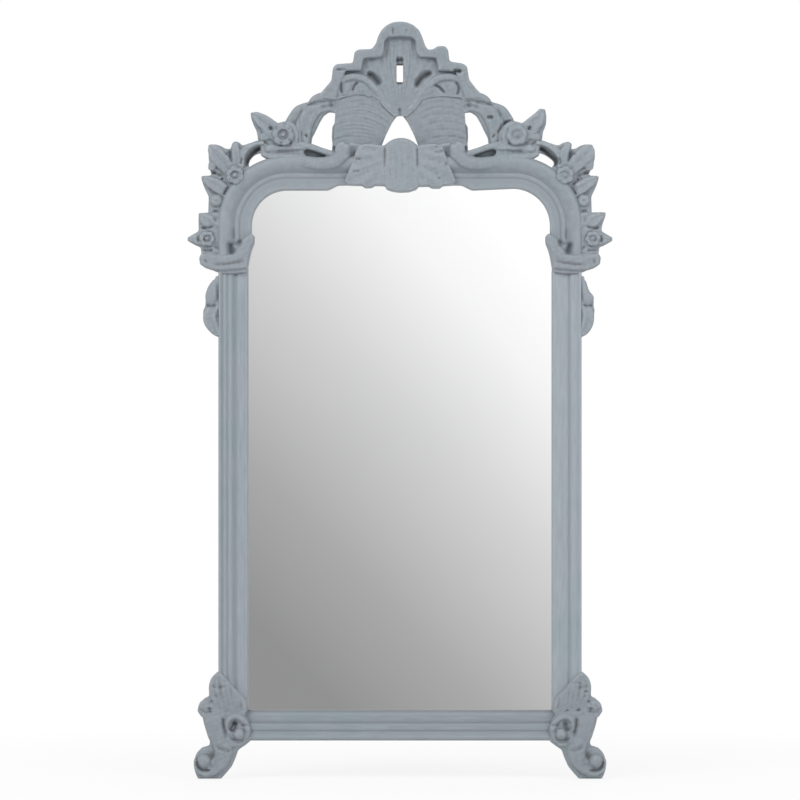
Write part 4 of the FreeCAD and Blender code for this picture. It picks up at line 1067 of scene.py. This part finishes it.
rosetteLeaf = {
    "slabs": {
        "ground": ([(250.5, 112.6), (257, 112.4), (263.5, 114), (270, 120), (277, 123.5), (284, 121.5),
            (289.5, 121), (295, 131), (298.5, 143), (307, 147.6), (303.4, 152.4), (307, 157),
            (297, 160.4), (285, 160.4), (272, 158.6), (261.5, 154.5), (260, 147), (258, 139.5),
            (257, 132), (253.5, 125), (251.2, 118.5)], 26.0, 3, 4.0, 2)},
    "strokes": {
        "largeLeaf": ([(284, 139, 29, 8), (273, 130.5, 31, 8.6), (264, 122.6, 33, 7.4),
            (257.6, 117.4, 33, 5.2), (253.4, 114.4, 31, 3)], 3, 4.2, -0.05, 1.3),
        "upperTab": ([(275, 133, 29, 5), (266, 136, 31, 5), (260.6, 139.6, 29, 2.6)], 3, 4, 0.15),
        "lowerTab": ([(278, 149, 28.5, 4.6), (270, 148.6, 30.5, 4.4),
            (265.4, 150.6, 29, 2.6)], 3, 4, 0.15),
        "lowerRidge": ([(261, 153.6, 26, 1.6), (268, 156, 28.6, 3.2), (278, 157.4, 30, 3.8),
            (290, 157.6, 30.5, 3.8), (303, 157.8, 29.5, 2.6), (310, 158.6, 28, 1.2)], 3, 4, 0.15),
        "middleRidge": ([(271, 148, 27, 2), (284, 148, 29.4, 3.2), (297, 148, 29.6, 3),
            (308, 148, 28.4, 1.4)], 3, 4, 0.15),
        "outerCurve": ([(286, 124, 28.5, 4), (292.6, 129, 30.5, 4.6), (295, 139, 30, 4.4),
            (293, 149, 28.5, 3.4)], 3, 4, 0.15)},
    "cuts": [([(270.5, 126.6), (271.4, 131)], 1.9, 4.6), ([(258, 127.5), (265, 131.5)], 1.1, 1.3),
        ([(264, 142), (270, 145.5)], 1.3, 2.0), ([(299, 138), (300.5, 143)], 1.7, 2.6),
        ([(271, 151.4), (284, 152), (296, 150)], 1.6, 1.6)],
    "rightCuts": [([(272, 124.5), (262, 119)], 1.1, 1.0)],
    "rightNudges": [(547, 111, 10, -4.5, -3.5), (533, 118, 8, 1.0, -1.0)],
    "paints": ("palePaint", "palestPaint")}
carve("rosetteLeaf", "rosette_leaf", rosetteLeaf)

shoulderSpray = {
    "slabs": {
        "ground": ([(264.5, 140.2), (256.4, 140.7), (249.3, 143.6), (242, 145.7), (240, 142.9),
            (235.5, 141), (232.3, 142.9), (230.7, 149.3), (225, 148.6), (221.5, 146.2), (216.4, 144.5),
            (208.4, 144.6), (208.4, 152), (209.3, 166), (211.6, 175.6), (201, 176), (202, 181),
            (204.2, 187.5), (208.8, 196.5), (208.3, 214), (226, 214), (229.5, 201), (236.5, 190),
            (246, 179), (254.5, 171.6), (250, 168.8), (248.4, 165), (249.8, 160), (253.5, 155.8),
            (258, 153.4), (264.5, 152.8)], 25.5, 3, 4.0, 2)},
    "strokes": {
        "largeLeaf": ([(232, 174, 28, 6), (225.4, 165, 31, 7.6), (218, 156.4, 33.5, 7.8),
            (213, 150, 33.5, 5.6), (210.2, 147, 31.5, 3.2)], 3, 4.2, -0.05, 1.3),
        "sideTab": ([(224, 160, 29, 4.6), (214.6, 163, 31, 5), (211.2, 170.4, 29, 3.2)], 3, 4, 0.15),
        "uprightLeaf": ([(239.4, 171, 28, 5), (236.8, 160, 31, 5), (235.9, 150, 33.5, 4.2),
            (235.6, 143.4, 31.5, 2.6)], 3, 4, -0.04, 1.0),
        "scrollArm": ([(264, 143.2, 29, 2.6), (254.6, 145, 30.5, 2.8), (247, 148.6, 31, 3.6),
            (242.6, 155, 30.5, 4), (242.4, 167, 29, 3.6)], 3, 3.6, 0.15),
        "lowerLeaf": ([(229.6, 195, 28, 5), (221, 188.4, 31.5, 6.6), (212, 183, 34, 5.8),
            (204.4, 178.6, 32, 3.2)], 3, 4.2, -0.05, 1.3),
        "edgeRib": ([(257, 171, 27, 2.4), (246.6, 177.6, 29, 3.2), (237.6, 188, 30.5, 3.4),
            (231, 200, 30.5, 3.4), (227.6, 214, 28.5, 3)], 3, 3.8, 0.15)},
    "balls": {
        "bud": (216.2, 201, 25.5, 6.2, 0.75)},
    "cuts": [([(264, 147.4), (257.5, 149.6), (251.5, 154.4), (247.6, 160.5), (246, 167.6)], 2.5, 14.0),
        ([(216.2, 200.8), (216.6, 201.2)], 1.8, 2.0), ([(213.4, 173.6), (215, 173.4)], 1.4, 3.2),
        ([(221, 178.4), (223.6, 179.8)], 1.4, 3.4),
        ([(229, 186.6), (226.6, 190.4), (223.4, 195.6)], 1.6, 6.0),
        ([(226.2, 153), (226.8, 156)], 1.5, 2.4), ([(242.4, 158), (241, 165)], 1.5, 3.4),
        ([(214.6, 211.4), (217, 211.6)], 1.6, 3.0),
        ([(229.4, 150.5), (231, 157), (232, 163.5)], 1.8, 3.0),
        ([(210, 171), (216, 174), (223.5, 176.5)], 1.7, 2.8)],
    "rightCuts": [([(222, 176.5), (219, 179.5), (226.5, 184.5), (223, 191)], 1.7, 3.6)],
    "rightNudges": [(567, 142, 8, 4.0, 0.5), (592, 157, 11, 3.6, 0), (553, 161, 6, 3.6, 0.5)],
    "paints": ("palePaint", "palestPaint")}
carve("shoulderSpray", "shoulder_spray", shoulderSpray)

shoulderFlower = {
    "blooms": {"flower": (235.2, 175.6, 9.2, 6, 1.1)},
    "cuts": [([(237.5, 172), (240.5, 175), (239.4, 178.8)], 1.0, 1.4),
        ([(229.6, 180.6), (231.6, 179)], 0.9, 1.2)],
    "voxel": 0.8, "rounds": 3, "blunt": 14, "paints": ("palePaint", "palestPaint")}
carve("shoulderFlower", "shoulder_flower", shoulderFlower)

sideSpray = {
    "slabs": {
        "ground": ([(208.3, 212.6), (198.8, 213.2), (198.6, 220), (198.8, 231), (196.3, 232.8),
            (187.4, 237.8), (187.4, 240.8), (195.6, 245.4), (200.8, 247.5), (201.7, 255.5), (227.5, 256),
            (226, 234), (226.2, 212.6)], 28.0, 3, 4.5, 2)},
    "strokes": {
        "upperLeaf": ([(222, 232, 28, 6), (213.4, 225.6, 31, 7.2), (206.4, 219.8, 33.5, 6.2),
            (201.6, 216, 31.5, 3.6)], 3, 4.2, -0.05, 1.1),
        "pointLeaf": ([(217, 240, 28, 6.4), (204.6, 239.4, 31.5, 6.4), (196.4, 239.3, 33, 4.6),
            (190, 239.3, 31, 2.2)], 3, 4, -0.04, 1.0),
        "lowerTab": ([(220, 251, 28, 4.6), (210.6, 250.4, 30.5, 4.4), (204, 251.6, 29, 3)], 3, 4, 0.15),
        "edgeRib": ([(227.4, 212, 28, 3), (224, 224, 30, 3.4), (223.4, 238, 30.5, 3.4),
            (226, 255, 29, 3)], 3, 3.8, 0.15)},
    "cuts": [([(201, 228.2), (208, 228.4), (214, 226.6)], 1.5, 3.6),
        ([(199.2, 235), (198.8, 239), (199.4, 243)], 1.8, 3.0),
        ([(202.6, 250.8), (213.5, 250.8)], 1.9, 3.6), ([(215.4, 219.4), (216.2, 221)], 1.5, 3.2),
        ([(213, 236), (214, 237.6)], 1.2, 2.4), ([(216, 247.6), (218, 249)], 1.3, 2.0)],
    "rightNudges": [(603, 214, 9, 4.5, -1.0)],
    "paints": ("palePaint", "palestPaint")}
carve("sideSpray", "side_spray", sideSpray)

sideFlower = {
    "blooms": {"flower": (207.4, 239, 7.8, 6, 0.2)},
    "cuts": [([(204.2, 239.2), (205, 240.8)], 1.0, 1.6), ([(211, 236.4), (211.6, 238)], 1.0, 1.6)],
    "voxel": 0.8, "rounds": 5, "blunt": 10, "paints": ("palePaint", "palestPaint")}
carve("sideFlower", "side_flower", sideFlower)

collar = {
    "slabs": {
        "band": ([(199.4, 257.6), (201.8, 253.6), (212, 253), (224, 254.6), (233.6, 254.4), (237, 248.8),
            (241, 245.4), (242.6, 240), (247, 236.2), (251.6, 233.4), (254.4, 236), (254.2, 243),
            (251.4, 250), (249.6, 257), (248.4, 264), (247.4, 268.8), (236, 270.2), (222, 271.2),
            (213, 270.6), (205.6, 268.2), (200.2, 264.4)], 34.4, 7.5, 5.5, 2),
        "lip": ([(213, 266), (214, 271), (222, 274), (236, 274), (246, 272.4), (248.2, 269), (246, 265),
            (230, 264)], 29.4, 7.5, 3.6, 2)},
    "strokes": {
        "roll": ([(202, 259.4, 33.5, 4.4), (213, 259.6, 35, 5), (226, 259.8, 35.6, 4.6),
            (237.4, 257.6, 35.8, 4), (244.8, 251, 35.8, 3.8), (249.4, 242, 35, 3.4)], 7.5, 4.2, 0.02)},
    "cuts": [([(213, 265.6), (228, 264.4), (240, 262.6), (247.4, 260)], 1.9, 2.0),
        ([(213.4, 255), (219, 255.8)], 1.6, 2.0), ([(205.6, 259.4), (206.6, 263.6)], 1.5, 1.6),
        ([(241.4, 254), (246.4, 246), (250, 239)], 1.8, 0.9)],
    "paints": ("palePaint", "palePaint")}
carve("collar", "collar", collar)

dropLeaf = {
    "slabs": {
        "ground": ([(216, 276), (214.4, 281), (208, 289.6), (206, 297), (205.4, 306), (203.3, 311),
            (203.3, 320), (207.6, 328), (215, 335.4), (220, 338), (221.4, 334),
            (220, 276)], 27.5, 3, 3.5, 2)},
    "strokes": {
        "upperLobe": ([(216.4, 281, 27.5, 3.2), (212.8, 288.6, 30.5, 4.8), (211.3, 297, 33, 5.8),
            (212.4, 304.6, 30, 4.4)], 3, 4.4, 0.1),
        "lowerLobe": ([(217.2, 305, 28.5, 4.2), (210.8, 313, 32, 6.2), (210.4, 321, 33, 6.6),
            (214.8, 329.4, 31.5, 5.2), (219, 335, 30, 2.8)], 3, 4.2, -0.04, 1.1)},
    "cuts": [([(217.8, 283), (218.6, 293), (218, 301)], 1.9, 1.6),
        ([(206, 305.4), (211, 306.6), (216.5, 305)], 1.6, 3.2), ([(218.6, 308), (219.4, 320)], 1.6, 1.6)],
    "rightNudges": [(595, 318, 13, -2.8, -0.5), (590, 288, 8, -3.0, 3.5)],
    "paints": ("palePaint", "palestPaint")}
carve("dropLeaf", "drop_leaf", dropLeaf)
print("shoulders made")


# Lower corners

cornerLeaf = {
    "slabs": {
        "ground": ([(217.5, 671.6), (211, 678.4), (209.3, 684), (209.3, 696), (204.3, 698.4),
            (199, 704.4), (197.6, 710.4), (201.5, 716.4), (210, 719.5), (226, 719), (241, 717.5),
            (247.8, 711), (247.4, 703), (244.5, 697.4), (239.5, 692), (234, 686.4), (229.4, 680.6),
            (225, 675.6), (220.6, 672.4)], 33.4, 7.5, 3.8, 2)},
    "strokes": {
        "outerLeaf": ([(226, 719, 31, 5), (219.4, 703, 34.6, 6.2), (214.8, 690, 36, 5.6),
            (215, 681, 35.5, 4.6), (217.4, 676, 33, 3.2)], 7.5, 4.2, -0.03, 1.0),
        "middleLeaf": ([(231, 719, 31, 5), (228, 703, 34.8, 5.6), (226, 691, 36, 5),
            (224.6, 682, 35, 3.6)], 7.5, 4.2, -0.03, 1.0),
        "innerLeaf": ([(237, 719, 31, 5), (237.4, 707, 34.6, 5), (236.4, 698, 35.4, 4.4),
            (233.4, 690, 34.2, 3)], 7.5, 4, 0.05, 0.8),
        "innerEdge": ([(240, 718, 33, 4), (243.6, 709, 34.2, 3.6), (243.4, 702.6, 34.2, 2.8),
            (240.4, 696.6, 33.6, 2)], 7.5, 3.6, 0.1),
        "heel": ([(224, 716, 35, 5.4), (213.6, 709.4, 36, 5.8), (206, 705.4, 37, 6),
            (202.6, 708.6, 36.5, 5)], 7.5, 4.4, 0.1)},
    "cuts": [([(211, 685.8), (217.6, 686.8), (225.6, 686.4)], 2.2, 2.0),
        ([(220.4, 688), (222.6, 700), (224.4, 709)], 2.2, 0.9),
        ([(209.6, 706.4), (210.4, 713)], 2.6, 4.0), ([(213, 699.4), (209, 704.4)], 1.6, 1.6),
        ([(240.6, 702), (243.4, 710)], 1.7, 1.2), ([(215, 694), (217, 697)], 1.5, 1.2)],
    "rightCuts": [([(221, 709.4), (222.4, 710)], 1.4, 3.4), ([(232.6, 710.4), (234, 711.6)], 1.3, 3.2),
        ([(219, 682.6), (229, 682.4)], 1.2, 1.8), ([(212.6, 690.6), (216.6, 690.8)], 1.2, 2.2)]}
carve("cornerLeaf", "corner_leaf", cornerLeaf)


def cupHeight(s, v, px, py):
    # smooth cup of the foot: full in the middle, fuller towards the scroll, and sunk at its top end
    sunk = np.clip(1 - s / scrollFoot["cupSinkShare"], 0, 1) ** 2
    full = scrollFoot["cupCrown"] * np.sin(np.pi * v) + scrollFoot["cupSwell"] * s
    return scrollFoot["cupHeight"] + full - scrollFoot["cupSink"] * sunk


scrollFoot = {
    "cupHeight": 36.5, "cupCrown": 2.6, "cupSwell": 1.6, "cupSink": 6.5, "cupSinkShare": 0.28,
    "deepestRight": 5.0,
    "spans": {
        "cup": (
            [(204, 712), (206, 726), (208.6, 735), (212, 743), (215, 750)],
            [(224, 711), (223.6, 726), (226.6, 737), (232.6, 746), (232, 755)],
            cupHeight, 7.5, 4.2, 50, 31, 3)},
    "slabs": {
        "ground": ([(201.6, 711.6), (204.3, 724), (208, 736), (210.4, 741.2), (209.4, 745.4),
            (201.8, 747.6), (196.6, 753), (194.1, 760.5), (194.3, 767.7), (196.2, 774), (198.4, 778.6),
            (221, 778.6), (226.6, 772.5), (232, 766), (235.7, 757.7), (238.4, 749.6), (246.6, 744),
            (251, 740.3), (251.6, 729), (248.4, 719), (241.5, 710), (225, 709)], 34.0, 7.5, 6.5, 2)},
    "strokes": {
        "upperScroll": ([(226.6, 729, 35.5, 2.4), (227.6, 720.6, 37, 3), (233.6, 716.4, 38, 3.2),
            (241, 717.6, 38, 3.2), (246.6, 724.6, 37.5, 3.2), (247, 733, 37, 3.4),
            (241.6, 741.4, 37, 3.6), (233, 742.6, 37, 4), (227, 737.4, 37, 3)], 7.5, 3.8, 0.15, 0.0, 80),
        "lowerScroll": ([(220, 738, 37, 8.6), (223.4, 748, 38.5, 10), (222, 758, 40, 8.6),
            (215, 767, 40.6, 7), (205.6, 771.4, 40, 5), (198.8, 766.6, 39, 4),
            (197.4, 759, 38, 3.4)], 7.5, 4.4, 0.12, 0.0, 90)},
    "balls": {
        "upperEye": (239.2, 733.2, 38.6, 5.5, 1.0),
        "lowerEye": (204.6, 760.4, 36.6, 6.8, 0.9)},
    "cuts": [([(223.4, 716), (224, 725), (226.6, 735)], 1.9, 3.0),
        ([(235.4, 720.4), (234.6, 725), (231.8, 731.6)], 2.8, 12.0),
        ([(232.6, 737.4), (238, 741.6), (244.4, 738.4)], 1.9, 1.4),
        ([(216, 745), (221, 748), (226.4, 750), (232.4, 749.6)], 2.5, 2.8),
        ([(197.6, 757), (198.2, 764.6), (203, 769.4), (212, 769.2)], 1.8, 5.6),
        ([(209, 752.6), (213.6, 756.6), (214.4, 763), (210.8, 768)], 3.8, 3.0),
        ([(241, 724.8), (250.5, 724.8)], 1.5, 1.8), ([(243, 731.5), (250.5, 731.5)], 1.5, 1.2)]}
carve("scrollFoot", "scroll_foot", scrollFoot)
print("lower corners made")


# Studio

studio = {
    "distance": 8.0, "focusDepth": 0.025, "sensor": 36.0, "farthest": 60,
    "floorGap": 0.0006, "floorHalf": (2.6, 2.4), "floorTone": (0.86, 0.86, 0.86, 1),
    "floorRoughness": 0.9,
    "nearWhite": [(0.12, 0.84), (0.6, 1.0)],      # how white the camera sees the floor, outward
    "nearScale": 0.45,
    "cardBehind": 0.6, "cardHalf": (1.5, 1.7), "cardSlope": (0.262, 0.252),
    "cardTones": [(0.0, 0.30), (0.19, 0.305), (0.32, 0.425), (0.5, 0.70), (0.64, 0.97), (0.78, 1.12)],
    "skyTone": (0.98, 0.99, 1.0, 1), "sky": 0.43}
lamps = {
    "key": {"place": (-1.9, -2.6, 3.0), "size": 1.8, "power": 74.0},
    "fill": {"place": (2.1, -2.8, 2.2), "size": 2.2, "power": 44.0},
    "back": {"place": (0.6, 3.6, 1.9), "size": 2.6, "power": 42.0}}
middleZ = cadLow.z + (photo["foot"] - photo["width"] / 2) * metresPerPixel


def plane(name, corners, material):
    # a flat sheet of the stage
    mesh = bpy.data.meshes.new(name)
    mesh.from_pydata(corners, [], [[0, 1, 2, 3]])
    mesh.materials.append(material)
    sheet = bpy.data.objects.new(name, mesh)
    bpy.context.scene.collection.objects.link(sheet)
    return sheet


def seenDirectly(tree):
    # one for rays from the camera, in a reflection or through glass; nought for rays of light
    rays = tree.nodes.new("ShaderNodeLightPath").outputs
    through = reckoned(tree, "MAXIMUM", rays["Is Glossy Ray"], rays["Is Transmission Ray"])
    return reckoned(tree, "MAXIMUM", rays["Is Camera Ray"], through)


def blended(tree, share, first, second, output):
    # a surface that is the second shader by that share, and the first by the rest
    blend = tree.nodes.new("ShaderNodeMixShader")
    for place, value in enumerate((share, first, second)):
        tree.links.new(value, blend.inputs[place])
    tree.links.new(blend.outputs[0], tree.nodes[output].inputs["Surface"])


def floorMaterial():
    # white for the camera for the most part, so that only the object's soft shadow shows on it
    material, tree, shader, coords = newMaterial("studioFloor")
    shader.inputs["Base Color"].default_value = studio["floorTone"]
    shader.inputs["Roughness"].default_value = studio["floorRoughness"]
    white = tree.nodes.new("ShaderNodeEmission")
    white.inputs["Color"].default_value = (1, 1, 1, 1)
    away = tree.nodes.new("ShaderNodeVectorMath")
    away.operation = "LENGTH"
    tree.links.new(coords, away.inputs[0])
    outward = reckoned(tree, "MULTIPLY", away.outputs["Value"], studio["nearScale"])
    share = reckoned(tree, "MULTIPLY", seenDirectly(tree), ramp(tree, outward, studio["nearWhite"]))
    blended(tree, share, shader.outputs[0], white.outputs[0], "Material Output")
    return material


def cardMaterial():
    # what the glass sees: a card that glows but lights nothing and grows lighter to the upper right, a
    # painted reflection on the mirror
    material, tree, shader, coords = newMaterial("glowingReflectionCard")
    place = tree.nodes.new("ShaderNodeSeparateXYZ")
    tree.links.new(coords, place.inputs[0])
    rise = reckoned(tree, "SUBTRACT", place.outputs["Z"], middleZ)
    total = reckoned(tree, "ADD", reckoned(tree, "MULTIPLY", place.outputs["X"], studio["cardSlope"][0]),
                     reckoned(tree, "MULTIPLY", rise, studio["cardSlope"][1]))
    light = tree.nodes.new("ShaderNodeEmission")
    tree.links.new(ramp(tree, reckoned(tree, "ADD", total, 0.5), studio["cardTones"]), light.inputs["Color"])
    tree.links.new(light.outputs[0], tree.nodes["Material Output"].inputs["Surface"])
    return material


around = [(-1, -1), (1, -1), (1, 1), (-1, 1)]
floorZ = cadLow.z - studio["floorGap"]
floorX, floorY = studio["floorHalf"]
floorCorners = [(x * floorX, y * floorY, floorZ) for x, y in around]
floor = plane("studioFloor", floorCorners, floorMaterial())
floor.visible_glossy = False
cardY = -studio["distance"] - studio["cardBehind"]
cardX, cardZ = studio["cardHalf"]
cardCorners = [(x * cardX, cardY, middleZ + y * cardZ) for x, y in around]
card = plane("glowingReflectionCard", cardCorners, cardMaterial())
# the card shows only in the glass, as a painted reflection
card.visible_camera = False
card.visible_diffuse = False
card.visible_shadow = False
card.visible_transmission = False

cameraData = bpy.data.cameras.new("camera")
camera = bpy.data.objects.new("camera", cameraData)
bpy.context.scene.collection.objects.link(camera)
cameraData.sensor_width = studio["sensor"]
cameraData.lens = studio["sensor"] * studio["distance"] / (photo["width"] * metresPerPixel)
cameraData.clip_end = studio["farthest"]
camera.location = (0, -studio["distance"] - studio["focusDepth"], middleZ)
camera.rotation_euler = (np.pi / 2, 0, 0)
bpy.context.scene.camera = camera

for name, lamp in lamps.items():
    light = bpy.data.lights.new(name, "AREA")
    light.size = lamp["size"]
    light.energy = lamp["power"]
    holder = bpy.data.objects.new(name, light)
    bpy.context.scene.collection.objects.link(holder)
    holder.location = lamp["place"]
    aim = Vector((0, 0, middleZ)) - Vector(lamp["place"])
    holder.rotation_euler = aim.to_track_quat("-Z", "Y").to_euler()
    holder.visible_glossy = False

world = bpy.data.worlds.new("studio")
bpy.context.scene.world = world
world.use_nodes = True
sky = world.node_tree.nodes["Background"]
sky.inputs["Color"].default_value = studio["skyTone"]
sky.inputs["Strength"].default_value = studio["sky"]
white = world.node_tree.nodes.new("ShaderNodeBackground")
white.inputs["Color"].default_value = (1, 1, 1, 1)
white.inputs["Strength"].default_value = 1.0
blended(world.node_tree, seenDirectly(world.node_tree), sky.outputs[0], white.outputs[0], "World Output")
bpy.context.scene.view_settings.view_transform = "Standard"
print("studio made")
